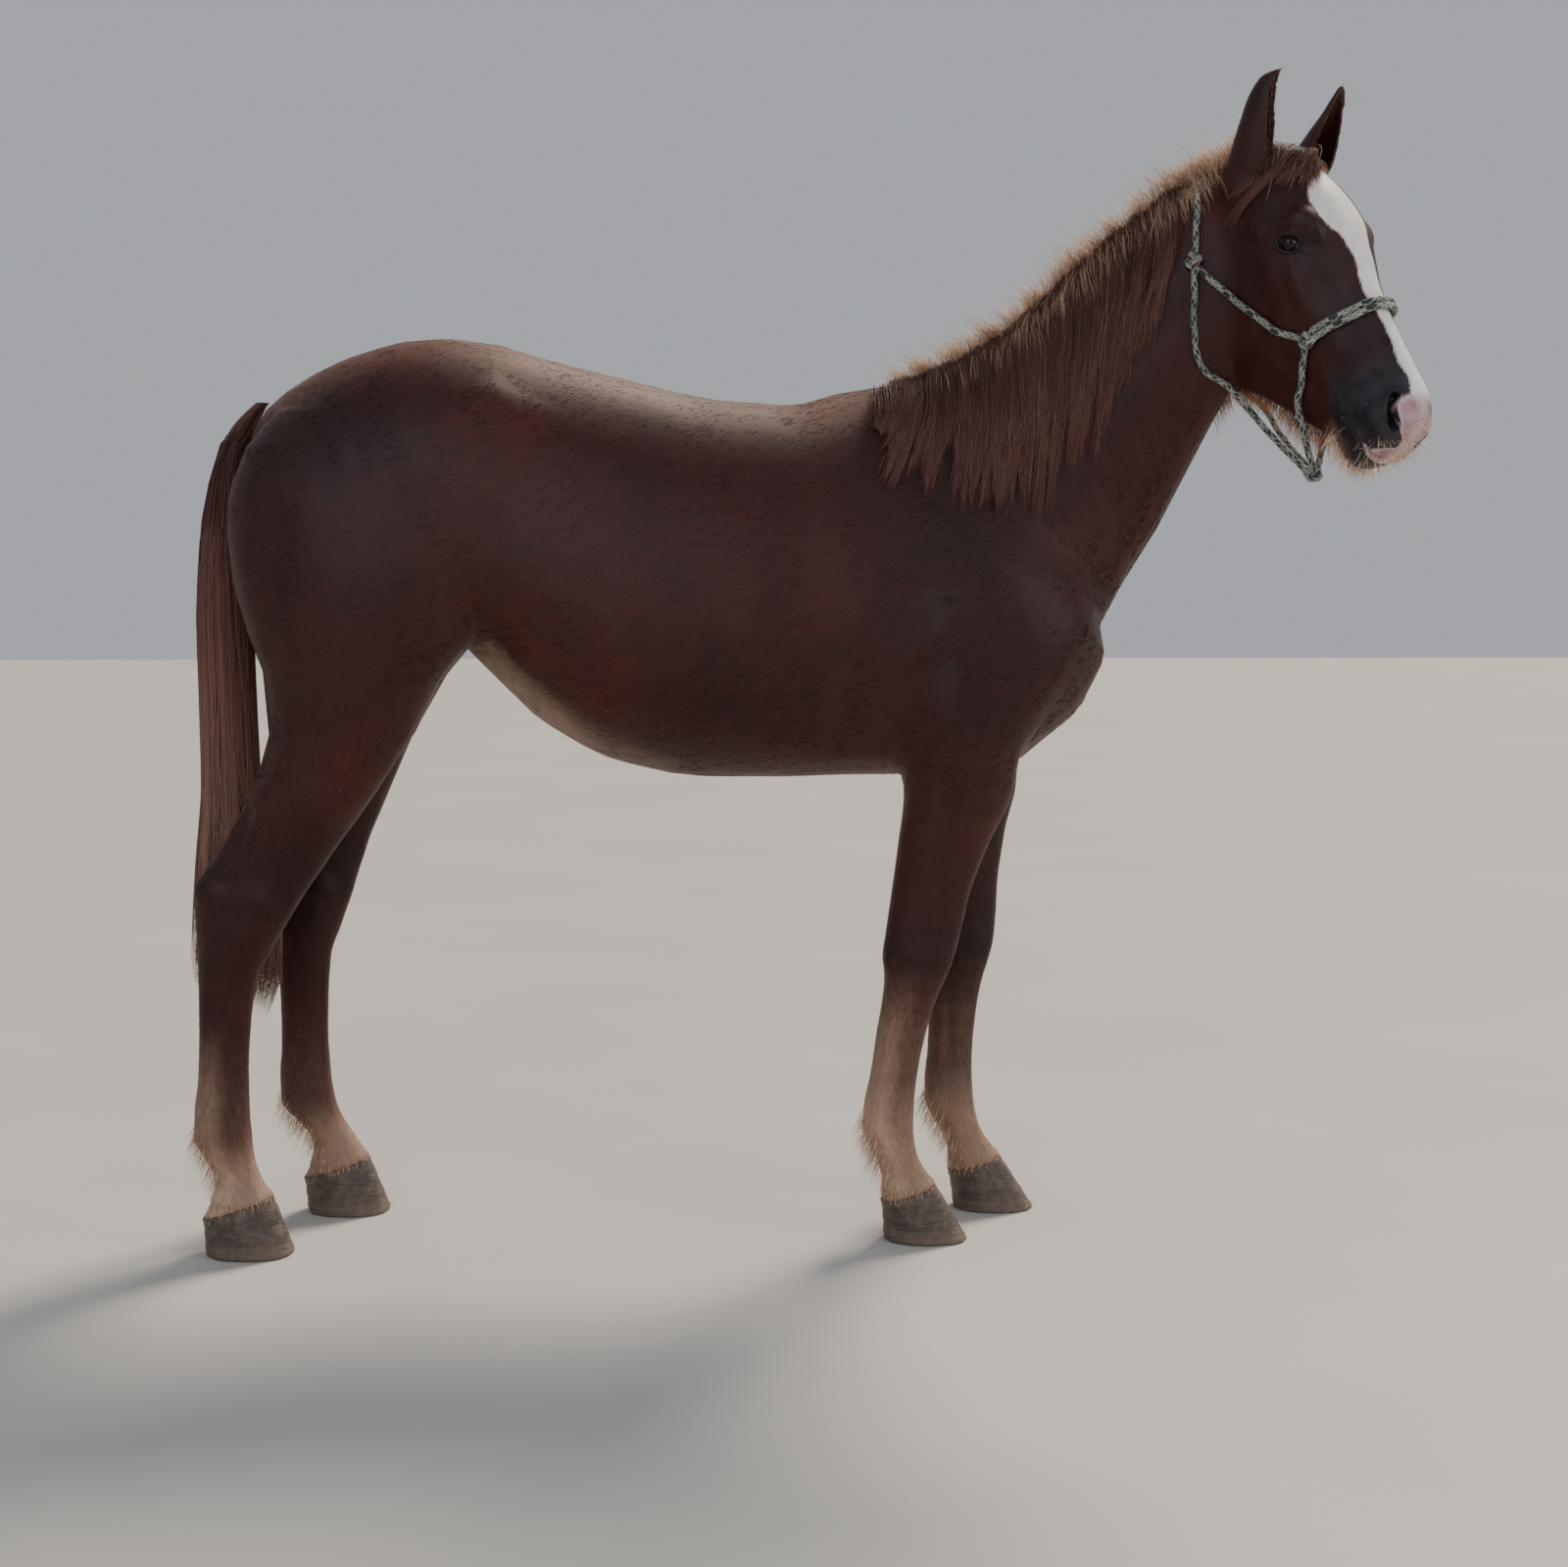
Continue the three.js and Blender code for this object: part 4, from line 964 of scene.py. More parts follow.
# Down the face: the blaze's right and left edges.
blaze = profile([
    [44, -14, 2], [62, -28, 9], [83, -44, 13], [102, -54, 18], [124, -61, 25], [145, -63, 27],
    [160, -57, 25], [185, -42, 18], [207, -33, 15], [228, -27, 16], [257, -27, 14], [290, -23, 12],
    [326, -17, 12], [362, -17, 13], [402, -21, 15], [425, -18, 17], [441, -21, 20], [462, -27, 26],
    [515, -40, 38],
])
# Round the upper lip by depth from the front: how far the pink skin reaches from the middle.
snip = smooth_through([-112, -100, -92, -76, -69, -62, -54, -46, -38, -30, -21, -5],
                      [30, 40, 43, 39, 31, 19, 17, 24, 34, 38, 42, 40])
# Where the bare grey skin of the muzzle begins, by depth from the front.
muzzle = smooth_through([-170, -134, -129, -110, -100, -76, -46, -19, 2, 20],
                        [452, 443, 420, 392, 366, 378, 388, 396, 404, 410])


# Darker and bleached places of the body: which mark, line of (x, z), reach, strength.
BODY_MARKS = [
    (3, [(-620, 1040), (-640, 1250)], 300, 0.5),  # thigh
    (3, [(300, 900), (260, 1150), (360, 1330)], 230, 0.6),  # shoulder
    (4, [(-470, 950), (-430, 905), (-350, 840)], 48, 0.6),  # fold of the flank
    (4, [(-350, 830), (-200, 785)], 40, 0.22),  # belly beside it
]


def markings(points):
    """White, pink and grey of the face, then dark and pale of the body and painted light along its
    top line: six columns.
    """
    s, y, depth = to_head(points).T
    x, _, z = points.T
    face = near_side(points)
    on_head = (region_of(points) >= HEAD) & (x > 640) & (z > 1150)
    out = np.zeros((len(points), 6))

    # The blaze, and the pink skin and white hair of the lips.
    right, left = blaze(s)
    white = np.clip(0.5 + np.minimum(y - right, left - y) / 13, 0, 1)
    white = white * between(s, 36, 52) * between(depth, -70, -40) * on_head
    lip = np.clip(0.5 + (snip(depth) - np.abs(y + 2)) / 10, 0, 1)
    lip = lip * between(s, 440, 470) * between(depth, -108, -98) * on_head
    white = np.maximum(white * (1 - between(s, 452, 468) * (1 - lip)), lip)
    pink = lip * (1 - 0.3 * closeness(y[:, None], [[-4]], 26))

    # Bare grey skin of the muzzle, and darker round the eyes.
    grey, dark = between(s - muzzle(depth), -48, 40) * on_head, np.zeros(len(points))
    for side in (-1, 1):
        _, far, u, v, share = eye_share(points, side)
        rim = (1 - between(share, 1.05, 1.5)) * (far < 44) * on_head
        tear = closeness(columns(u, v), [(20, -2), (31, -7)], 7) * (far < 50) * on_head
        grey = np.maximum.reduce([grey, rim * 0.5, tear * 0.4])
        dark += rim
    nostril = closeness(face, NOSTRIL, 11, 5) * on_head
    chin = on_head * between(depth, -120, -140) * between(s, 400, 440)
    out[:, 0] = white * (1 - nostril)
    out[:, 1] = pink * (1 - nostril)
    out[:, 2] = grey * (1 - lip) * (1 - 0.45 * chin)

    # Dark knees, hocks, shoulder, thigh and nose.
    hind, fore = x < -536, (x > 60) & (x < 520)
    dark += fore * closeness(z[:, None], [[500]], 90) * 0.35
    dark += hind * closeness(z[:, None], [[610]], 150) * 0.6
    dark += on_head * closeness(face, [(205, 80, -20), (330, 50, -30), (390, 44, -30)], 75) * 0.8
    out[:, 3] = dark
    # Pale backs of the legs and fold of the flank.
    cannon = hind * columns(*hind_leg(z)[:2]).mean(1) + fore * columns(*fore_leg(z)[:2]).mean(1)
    behind = between(x - cannon, 14, -16)
    out[:, 4] = fore * (between(z, 500, 240) * (0.22 + 0.4 * behind) + between(z, 280, 150) * 0.45)
    out[:, 4] += hind * (between(z, 420, 230) * (0.1 + 0.34 * behind) + between(z, 215, 120) * 0.5)
    out[:, 4] += hind * between(z, 640, 800) * between(np.abs(points[:, 1]), 60, 20) * 0.35
    for mark, line, reach, strength in BODY_MARKS:
        out[:, mark] += closeness(points[:, [0, 2]], line, reach) * strength
    lips = closeness(face, MOUTH, 4.5, 2) * on_head
    out[:, 3] = np.clip(out[:, 3] * (z > 300) + lips, 0, 1)
    out[:, 4] = np.clip(out[:, 4] + 0.35 * chin, 0, 1)
    # Lighter along the top line: painted light where the sun falls on the back.
    top = trunk(np.clip(x, -866, 510))[0]
    out[:, 5] = between(z - top, -80, -6) * between(x, 330, 200) * between(x, -900, -780) * 0.32
    out[region_of(points) >= EAR_RIGHT, 3] = 0.35
    return out


def colour_layer(mesh, name, values):
    """Stores three columns on the vertices, as a colour that materials read."""
    layer = mesh.attributes.new(name, "FLOAT_COLOR", "POINT")
    colours = np.column_stack([values, np.ones(len(values))])
    layer.data.foreach_set("color", np.float32(colours).ravel())


def mark(mesh, marks):
    colour_layer(mesh, "marks_face", marks[:, :3])
    colour_layer(mesh, "marks_body", marks[:, 3:])


def flat_map(mesh, name, values):
    """Stores a UV map from values on the loops."""
    layer = mesh.uv_layers.new(name=name, do_init=False)
    layer.uv.foreach_set("vector", np.asarray(values, np.float32).ravel())


def mark_skin(mesh):
    """The markings, the lie of the hair and the unwrap, on the skin."""
    points = unplaced(points_of(mesh))
    mark(mesh, markings(points))
    corner = loops_of(mesh)
    start, size = (
        read(mesh.polygons, name, kind=np.int32) for name in ("loop_start", "loop_total"))
    middle = np.add.reduceat(points[corner], start, axis=0) / size[:, None]
    face = np.repeat(np.arange(len(size)), size)
    region = region_of(middle)
    ours, centre = region[face], unwrap(middle, region)[face]
    places = unwrap(points[corner], ours)
    places[:, 1] -= np.round(places[:, 1] - centre[:, 1])
    flat_map(mesh, "OFBake", sheet_map(places, ours))
    flat_map(mesh, "lie", lie_map(places, ours))


# --------------------------------------------------------------- materials


def coat_material():
    """Summer coat of a young chestnut: short hair of several reds lying flat, with a soft gloss
    along it, thin over grey skin round the eyes and muzzle and over pink skin on the lips. Hairs
    are about 0.06 mm; they are drawn as clumps 1.4 mm across and 20 mm long, so that they show."""
    look, add = material("summer_chestnut_coat")
    face = add("SeparateColor", [add("Attribute", attribute_name="marks_face")]).outputs
    body = add("SeparateColor", [add("Attribute", attribute_name="marks_body")]).outputs
    lay = add("UVMap", uv_map="lie")
    place = add("TexCoord").outputs["Object"]
    fine, coarse = (add("Mapping", {0: lay, 3: scale}) for scale in ((50, 700, 1), (16, 90, 1)))
    clumps = add("TexNoise", {"Vector": fine, "Scale": 1.0, "Detail": 2.0})
    locks = add("TexNoise", {"Vector": coarse, "Scale": 1.0, "Detail": 3.0})
    patches = add("TexNoise", {"Vector": place, "Scale": 3.2, "Detail": 3.0})
    mottle = add("TexNoise", {"Vector": place, "Scale": 38.0, "Detail": 3.0})
    tone = add("Math MULTIPLY_ADD", [patches, 0.7, -0.2])
    tone = add("Math MULTIPLY_ADD", [locks, 0.28, tone])
    tone = add("Math MULTIPLY_ADD", [clumps, 0.42, tone])
    red = add("ValToRGB", [tone], [
        (0.2, "#190707"), (0.42, "#2c0e0c"), (0.6, "#3e1510"), (0.85, "#5a2417")])
    dark = add("ValToRGB", [tone], [(0.2, "#0f0506"), (0.8, "#270e0d")])
    pale = add("ValToRGB", [tone], [(0.15, "#715443"), (0.5, "#a88871"), (0.85, "#d3b79d")])
    # Painted light: a lighter red for the sunlit top line of the back.
    top_line_light = add("ValToRGB", [tone], [(0.2, "#5e2e22"), (0.85, "#a76e50")])
    bare = add("ValToRGB", [mottle], [(0.3, "#17151b"), (0.7, "#302c34")])
    pink = add("ValToRGB", [mottle], [(0.3, "#8f6c73"), (0.7, "#b39296")])
    white = add("ValToRGB", [tone], [(0.15, "#bdb7b4"), (0.6, "#e8e4de")])
    # Marks meet the red hair by hair, not in a soft blur: the clumps push the edge about.
    ragged = add("Math MULTIPLY_ADD", [clumps, 0.9, add("Math MULTIPLY_ADD", [mottle, 0.5, -0.7])])
    colour = red
    for mark_, over, low, high, push in (
            (body[0], dark, 0.0, 1.3, 0.0), (body[2], top_line_light, 0.0, 1.2, 0.25),
            (body[1], pale, 0.0, 1.0, 0.3), (face[2], bare, 0.12, 0.88, 0.35),
            (face[0], white, 0.34, 0.66, 0.5), (face[1], pink, 0.2, 0.9, 0.5)):
        share = add("MapRange", [add("Math MULTIPLY_ADD", [ragged, push, mark_]), low, high])
        some = add("Math MULTIPLY", [mark_, 8.0], use_clamp=True)
        share = add("Math MULTIPLY", [some, share])
        colour = add("Mix", {0: share, 6: colour, 7: over}, data_type="RGBA")
    skin_share = add("Math MAXIMUM", [face[2], face[1]])
    rough = add("MapRange", {0: clumps, 3: 0.42, 4: 0.6})
    rough = add("Mix", {0: skin_share, 2: rough, 3: 0.5})
    pores = add("TexVoronoi", {"Vector": place, "Scale": 420.0})
    grain = add("Math MULTIPLY_ADD", [locks, 0.5, clumps])
    relief = add("Mix", {0: skin_share, 2: grain, 3: pores})
    bump = add("Bump", {"Height": relief, "Strength": 0.3, "Distance": 0.0012})
    add("OutputMaterial", [add("BsdfPrincipled", {
        "Base Color": colour, "Roughness": rough, "Normal": bump, "IOR": 1.45,
        "Specular IOR Level": 0.36, "Sheen Weight": 0.06, "Sheen Roughness": 0.4,
        "Sheen Tint": "#c79a80"})])
    return look


def long_hair_material(name, root, middle, tip, gloss):
    """Mane and tail hair: coarse keratin strands coloured from root to tip, bleached by the sun at
    the tips, with a gloss along each strand; where the root colour is lighter than the middle it is
    painted light on the hair's sunlit top. A strand here stands for a lock of about a dozen hairs."""
    look, add = material(name)
    along, own, fair = add("SeparateColor", [add("Attribute", attribute_name="strand")]).outputs
    lay = add("Mapping", {0: add("UVMap", uv_map="lie"), 3: (30, 2200, 1)})
    fibres = add("TexNoise", {"Vector": lay, "Scale": 1.0, "Detail": 2.0})
    share = add("Math ADD", [add("Math MULTIPLY_ADD", [fibres, 0.3, -0.15]), along])
    base = add("ValToRGB", [share], [(0.0, root), (0.36, middle), (0.98, tip)])
    lighter = add("ValToRGB", [share], [(0.0, middle), (0.6, tip)])
    colour = add("Mix", {0: fair, 6: base, 7: lighter}, data_type="RGBA")
    shade = add("MapRange", {0: own, 3: 0.55, 4: 1.35})
    colour = add("VectorMath MULTIPLY", [colour, add("CombineXYZ", [shade] * 3)])
    rough = add("MapRange", {0: fibres, 3: gloss, 4: gloss + 0.18})
    bump = add("Bump", {"Height": fibres, "Strength": 0.4, "Distance": 0.0004})
    add("OutputMaterial", [add("BsdfPrincipled", {
        "Base Color": colour, "Roughness": rough, "Normal": bump, "IOR": 1.5,
        "Specular IOR Level": 0.25, "Sheen Weight": 0.08, "Sheen Roughness": 0.35})])
    return look


def eye_material():
    """A horse's eye: dark brown iris and a level pupil under a wet clear cornea, pale only where
    the white and the third lid show at the inner corner."""
    look, add = material("wet_dark_eye")
    gaze = add("UVMap", uv_map="gaze")
    level, up, _ = add("SeparateXYZ", [gaze]).outputs
    x = add("Math ADD", [level, 0.14])
    ring = add("VectorMath LENGTH", [add("CombineXYZ", [x, up])])
    pupil = add("VectorMath LENGTH", [add("CombineXYZ", [x, add("Math MULTIPLY", [up, 1.9])])])
    spokes = add("CombineXYZ", [add("Math ARCTAN2", [x, up]), ring])
    fibres = add("TexNoise", {"Vector": spokes, "Scale": 9.0, "Detail": 4.0})
    iris = add("Math MULTIPLY_ADD", [fibres, 0.5, add("Math MULTIPLY", [ring, 0.6])])
    iris = add("ValToRGB", [iris], [(0.3, "#070404"), (0.55, "#190c08"), (0.75, "#0a0505")])
    veins = add("TexNoise", {"Vector": gaze, "Scale": 14.0, "Detail": 4.0})
    white = add("ValToRGB", [veins], [(0.35, "#2e2323"), (0.6, "#554a4c")])
    edge = add("MapRange", [ring, 0.66, 0.74])
    corner = add("Math MULTIPLY", [
        add("MapRange", [level, 0.58, 0.66]), add("MapRange", [level, 0.86, 0.76])])
    outer = add("Mix", {0: corner, 6: "#170e10", 7: white}, data_type="RGBA")
    rim = add("MapRange", [pupil, 0.4, 0.48])
    inner = add("Mix", {0: rim, 6: "#040408", 7: iris}, data_type="RGBA")
    colour = add("Mix", {0: edge, 6: inner, 7: outer}, data_type="RGBA")
    rough = add("MapRange", {0: edge, 3: 0.06, 4: 0.2})
    add("OutputMaterial", [add("BsdfPrincipled", {
        "Base Color": colour, "Roughness": rough, "IOR": 1.38, "Specular IOR Level": 0.2,
        "Coat Weight": 0.35, "Coat Roughness": 0.02})])
    return look


def hoof_material():
    """Hoof horn: grey-brown keratin with growth rings every 7 mm or so, fine upright tubules, a
    pale rim rubbed by wear, and road dust."""
    look, add = material("dusty_hoof_horn")
    place = add("TexCoord").outputs["Object"]
    height = add("SeparateXYZ", [place]).outputs[2]
    warp = add("TexNoise", {"Vector": place, "Scale": 22.0, "Detail": 2.0})
    rings = add("Math MULTIPLY", [add("Math MULTIPLY_ADD", [warp, 0.03, height]), 900.0])
    rings = add("Math SINE", [rings])
    upright = add("Mapping", {0: place, 3: (620, 620, 22)})
    tubules = add("TexNoise", {"Vector": upright, "Scale": 1.0, "Detail": 2.0})
    dust = add("TexNoise", {"Vector": place, "Scale": 60.0, "Detail": 5.0})
    horn = add("Math MULTIPLY_ADD", [tubules, 0.5, add("Math MULTIPLY_ADD", [rings, 0.04, 0.25])])
    horn = add("ValToRGB", [horn], [(0.2, "#241c1a"), (0.55, "#473a33"), (0.9, "#6c5a4d")])
    low = add("MapRange", [add("Math MULTIPLY_ADD", [dust, 0.03, height]), 0.045, 0.012])
    dusty = [add("MapRange", [dust, 0.42, 0.72]), 0.45, add("Math MULTIPLY", [low, 0.4])]
    dusty = add("Math MULTIPLY_ADD", dusty, use_clamp=True)
    colour = add("Mix", {0: dusty, 6: horn, 7: "#836f5e"}, data_type="RGBA")
    relief = add("Math MULTIPLY_ADD", [rings, 0.22, tubules])
    bump = add("Bump", {"Height": relief, "Strength": 0.6, "Distance": 0.0012})
    rough = add("MapRange", {0: dusty, 3: 0.5, 4: 0.85})
    add("OutputMaterial", [add("BsdfPrincipled", {
        "Base Color": colour, "Roughness": rough, "Normal": bump, "IOR": 1.54})])
    return look


BRAID = 0.013  # metres for one yarn to go once round a quarter of the rope
ROUND = 2 * math.pi


def rope_material():
    """Braided polyester cord: satiny cream yarns with dark green tracers that come and go as they
    pass under, painted shade where the yarns dip, a fine twist in each yarn, and a little grime."""
    look, add = material("braided_polyester_cord")
    around = add("Attribute", attribute_name="around").outputs["Vector"]
    across, up, length = add("SeparateXYZ", [around]).outputs
    turn = add("Math MULTIPLY", [add("Math ARCTAN2", [up, across]), 1 / ROUND])
    run = add("Math DIVIDE", [length, BRAID])
    waves, tracers = [], []
    for way in (1.0, -1.0):
        phase = add("Math MULTIPLY_ADD", [turn, 4.0, add("Math MULTIPLY", [run, way])])
        waves.append(add("Math COSINE", [add("Math MULTIPLY", [phase, ROUND])]))
        quarter = add("Math FRACT", [add("Math MULTIPLY_ADD", [phase, 0.25, 0.125])])
        tracers.append(add("Math LESS_THAN", [quarter, 0.3]))
    over = add("Math GREATER_THAN", waves)
    green = add("Mix", {0: over, 2: tracers[1], 3: tracers[0]})
    height = add("Math MAXIMUM", waves)
    place = add("TexCoord").outputs["Object"]
    grime = add("TexNoise", {"Vector": place, "Scale": 55.0, "Detail": 4.0})
    twist = {"Vector": add("CombineXYZ", [run, turn]), "Scale": 9.0, "Distortion": 1.5}
    yarn = add("TexWave", twist).outputs[1]
    cream = add("ValToRGB", [grime], [(0.3, "#70766e"), (0.7, "#a6aa9f")])
    colour = add("Mix", {0: green, 6: cream, 7: "#16241f"}, data_type="RGBA")
    # Painted shade: the colour darkens where a yarn dips under its neighbours.
    dip_shade = add("MapRange", [height, 0.0, 0.55, 0.45, 1.0])
    colour = add("VectorMath MULTIPLY", [colour, add("CombineXYZ", [dip_shade] * 3)])
    relief = add("Math MULTIPLY_ADD", [yarn, 0.25, height])
    bump = add("Bump", {"Height": relief, "Strength": 0.7, "Distance": 0.0008})
    rough = add("MapRange", {0: grime, 3: 0.5, 4: 0.75})
    add("OutputMaterial", [add("BsdfPrincipled", {
        "Base Color": colour, "Roughness": rough, "Normal": bump, "IOR": 1.57,
        "Sheen Weight": 0.2, "Sheen Roughness": 0.4})])
    return look


def floor_material():
    """A matt painted floor, pale and plain."""
    look, add = material("pale_floor")
    place = add("TexCoord").outputs["Object"]
    cloud = add("TexNoise", {"Vector": place, "Scale": 1.1, "Detail": 2.0})
    colour = add("ValToRGB", [cloud], [(0.3, "#b0ada8"), (0.7, "#b7b4af")])
    add("OutputMaterial", [add("BsdfPrincipled", {"Base Color": colour, "Roughness": 0.8})])
    return look


# -------------------------------------------------------------------- hair


def feel(mesh):
    """A finder for the skin's nearest places."""
    faces = loops_of(mesh).reshape(-1, 3).tolist()
    return BVHTree.FromPolygons(unplaced(points_of(mesh)).tolist(), faces, all_triangles=True)


def pushed_out(paths, clear, finder):
    """Moves points that are in the skin, or nearer to it than they should be, out of it."""
    flat = paths.reshape(-1, 3).copy()
    clear = np.broadcast_to(clear, paths.shape[:-1]).ravel()
    for i, p in enumerate(flat):
        place, (a, b, c), _, _ = finder.find_nearest(p, 90)
        push = clear[i] - ((p[0] - place[0]) * a + (p[1] - place[1]) * b + (p[2] - place[2]) * c)
        if push > 0:
            flat[i] = p[0] + a * push, p[1] + b * push, p[2] + c * push
    return flat.reshape(paths.shape)


def on_skin(start, way, finder):
    """The first place of the skin from a start along a way, or None."""
    place = finder.ray_cast(Vector(start), Vector(unit(way)), 900)[0]
    return None if place is None else np.array(place)


def mostly(middle, spread, count):
    """Random shares about a middle one, none under 0 or over 1."""
    return np.clip(chance.normal(middle, spread, count), 0, 1)


HAIR_THICK = 0.42  # how deep a strand is by its width


def hair_mesh(name, paths, widths, outs, light):
    """Tapering three-sided strands along paths (strand, step, axis), broad side outwards."""
    count, steps = paths.shape[:2]
    tangent = unit(np.gradient(paths, axis=1))
    outs = unit(outs + chance.normal(0, 0.4, (count, 3)))[:, None, :]
    across = unit(np.cross(np.broadcast_to(outs, paths.shape), tangent))
    share = np.linspace(0, 1, steps)
    taper = np.clip(1.15 - share**2.2, 0, 1) * np.clip(0.55 + share * 4, 0, 1)
    half = (widths[:, None] / 2 * taper)[:, :, None]
    broad, deep = across * half, np.cross(tangent, across) * half * 2 * HAIR_THICK
    ring = np.stack([paths + broad, paths + deep, paths - broad], 2)[:, :-1]
    points = np.concatenate([ring.reshape(count, -1, 3), paths[:, -1:]], 1)
    per = points.shape[1]
    k, i = (a.ravel() for a in np.meshgrid(np.arange(steps - 2), np.arange(3), indexing="ij"))
    j = (i + 1) % 3
    quads = columns(k * 3 + i, k * 3 + j, (k + 1) * 3 + j, (k + 1) * 3 + i)
    last = (steps - 2) * 3
    caps = np.array([[0, 2, 1]] + [[last + a, last + (a + 1) % 3, last + 3] for a in range(3)])
    base = (np.arange(count) * per)[:, None, None]
    mesh = mesh_of(name, placed(points.reshape(-1, 3)), (quads + base).reshape(-1, 4),
                   (caps + base).reshape(-1, 3))

    along = np.tile(np.append(np.repeat(share[:-1], 3), 1.0), count)
    side = np.tile(np.append(np.tile([1.0, 0.5, 0.0], steps - 1), 0.5), count)

    def each(values):
        return np.repeat(values, per, axis=0)

    colour_layer(mesh, "strand", columns(along, each(chance.random(count)), each(light)))
    corner = loops_of(mesh)
    region = region_of(paths[:, 0])
    patch = each(sheet_map(unwrap(paths[:, 0], region), region))
    flat_map(mesh, "OFBake", (patch + PATCH * columns(side - 0.5, along - 0.5))[corner])
    length = np.linalg.norm(np.diff(paths, axis=1), axis=2).sum(1) / 1000
    lay = columns(along * each(length) + each(chance.random(count) * 3),
                  each(chance.random(count) * 2) + side * each(widths) / 1000)
    flat_map(mesh, "lie", lay[corner])
    return mesh


def strands_on(guides, per_guide, spread, tip_spread, finder, clear, wave):
    """Strands gathered round each guide (guide, step, axis), drawn together towards its tip."""
    paths = np.repeat(guides, per_guide, axis=0)
    total, steps = paths.shape[:2]
    share = np.linspace(0, 1, steps)[None, :, None]
    offset = chance.normal(0, 1, (total, 1, 3)) * spread
    gather = 1 - (1 - tip_spread) * share**0.8
    phase, bends = chance.random((total, 1, 1)) * 6.3, 0.6 + chance.random((total, 1, 1)) * 1.6
    ripple = np.sin(phase + share * bends * 6.3) * chance.normal(0, 1, (total, 1, 3)) * wave * share
    paths = paths + offset * gather + ripple
    # Each strand ends at its own share of the path.
    ends = 1 - chance.random(total) ** 1.6 * 0.4
    where = ends[:, None] * np.linspace(0, 1, steps) * (steps - 1)
    low = np.clip(where.astype(int), 0, steps - 2)
    rest, row = (where - low)[:, :, None], np.arange(total)[:, None]
    cut = paths[row, low] * (1 - rest) + paths[row, low + 1] * rest
    deep = clear[0] + (clear[1] - clear[0]) * chance.random((total, 1)) * (1 - 0.6 * share[:, :, 0])
    cut[:, 1:] = pushed_out(cut[:, 1:], deep[:, 1:], finder)
    return cut


# The hem of the mane by share of the neck: how far forward and how high its locks end.
mane_hem = profile([
    [-0.02, 92, 1345], [0.05, 118, 1285], [0.12, 146, 1236], [0.2, 190, 1212], [0.3, 262, 1182],
    [0.4, 330, 1164], [0.5, 385, 1160], [0.6, 428, 1190], [0.7, 470, 1232], [0.78, 505, 1290],
    [0.86, 532, 1370], [0.93, 556, 1480], [1.0, 590, 1590],
])


def crest(share):
    """The top of the neck at a share of its length."""
    x, z, _, _, swing, _, _ = neck(min(max(share, 0), 1))
    if share < 0:
        x, z = x + share * 700, z + share * 120
    return np.array([x, -swing, z])


PARTINGS = (0.275, 0.70)  # places of the crest where the mane parts and the neck shows
POINTS = 15  # the mane's hem ends in so many points


def mane_guides(locks, per_lock, steps, finder):
    """Paths that gather into locks, and the locks into longer and shorter points."""
    points = np.array([0.01 + 0.9 * (n + chance.uniform(0.2, 0.8)) / POINTS for n in range(POINTS)])
    falls, leans = 1.06 - 0.34 * chance.random(POINTS) ** 1.5, chance.normal(-4, 12, POINTS)
    guides = []
    for n in range(locks):
        centre = 0.015 + 0.895 * (n + chance.random()) / locks
        for parting in PARTINGS:
            if abs(centre - parting) < 0.02:
                centre = parting + math.copysign(0.022, centre - parting)
        own = np.argmin(np.abs(points - centre))
        hem_x, hem_z = mane_hem(points[own] * 0.72 + centre * 0.28)
        drop = falls[own] * (1 - 0.2 * chance.random() ** 1.5)
        lean = leans[own] + chance.normal(0, 6)
        # Short and lying forward where it starts, at the withers.
        early = min(max((0.14 - centre) / 0.12, 0), 1)
        drop = drop * (1 - 0.35 * early) * chance.uniform(1 - 0.5 * early, 1)
        lean = lean + 45 * early
        bend, phase = chance.normal(0, 11), chance.uniform(0, 6.3)
        for _ in range(per_lock):
            start = crest(centre + chance.normal(0, 0.010)) + [0, chance.normal(0, 8), 5]
            fall = drop - 0.07 * chance.random()
            path = []
            for t in np.linspace(0, 1, steps):
                arch = 22 * drop * math.sin(math.pi * min(t * 2.6, 1)) * (1 - t)
                sway = bend * math.sin(phase + 3.4 * t) * t
                x = start[0] + (hem_x + lean - start[0]) * t**1.15 * fall + sway
                z = start[2] + (hem_z - start[2]) * t * fall + arch
                place = on_skin([x, -700, z], [0, 1, 0], finder)
                y = start[1] - 26 * t if place is None else min(place[1] - 8, start[1] - 10 * t)
                path.append([x, start[1] + (y - start[1]) * min(t * 4.5, 1), z])
            guides.append(path)
    return np.array(guides)


def short_hairs(name, roots, ways, lengths, widths, bend, outs, light, steps=5):
    """Short separate hairs that start at roots and bend as they go."""
    share = np.linspace(0, 1, steps)[None, :, None]
    bend = np.broadcast_to(bend, roots.shape)[:, None, :]
    paths = (unit(ways)[:, None, :] * share + bend * share**2) * lengths[:, None, None]
    return hair_mesh(name, roots[:, None, :] + paths, widths, outs, light)


def scattered(mesh, count, weight):
    """Random places on the mesh: points, normals, chosen by area times weight."""
    points, normals = unplaced(points_of(mesh)), normals_of(mesh)
    faces = loops_of(mesh).reshape(-1, 3)
    a, b, c = (points[faces[:, k]] for k in range(3))
    area = np.linalg.norm(np.cross(b - a, c - a), axis=1) / 2
    total = np.cumsum(area * weight((a + b + c) / 3))
    pick = np.searchsorted(total, chance.random(count) * total[-1])
    u, v = chance.random(count), chance.random(count)
    over = u + v > 1
    u[over], v[over] = 1 - u[over], 1 - v[over]
    mix = np.stack([1 - u - v, u, v], 1)[:, :, None]
    return (points[faces[pick]] * mix).sum(1), unit((normals[faces[pick]] * mix).sum(1))


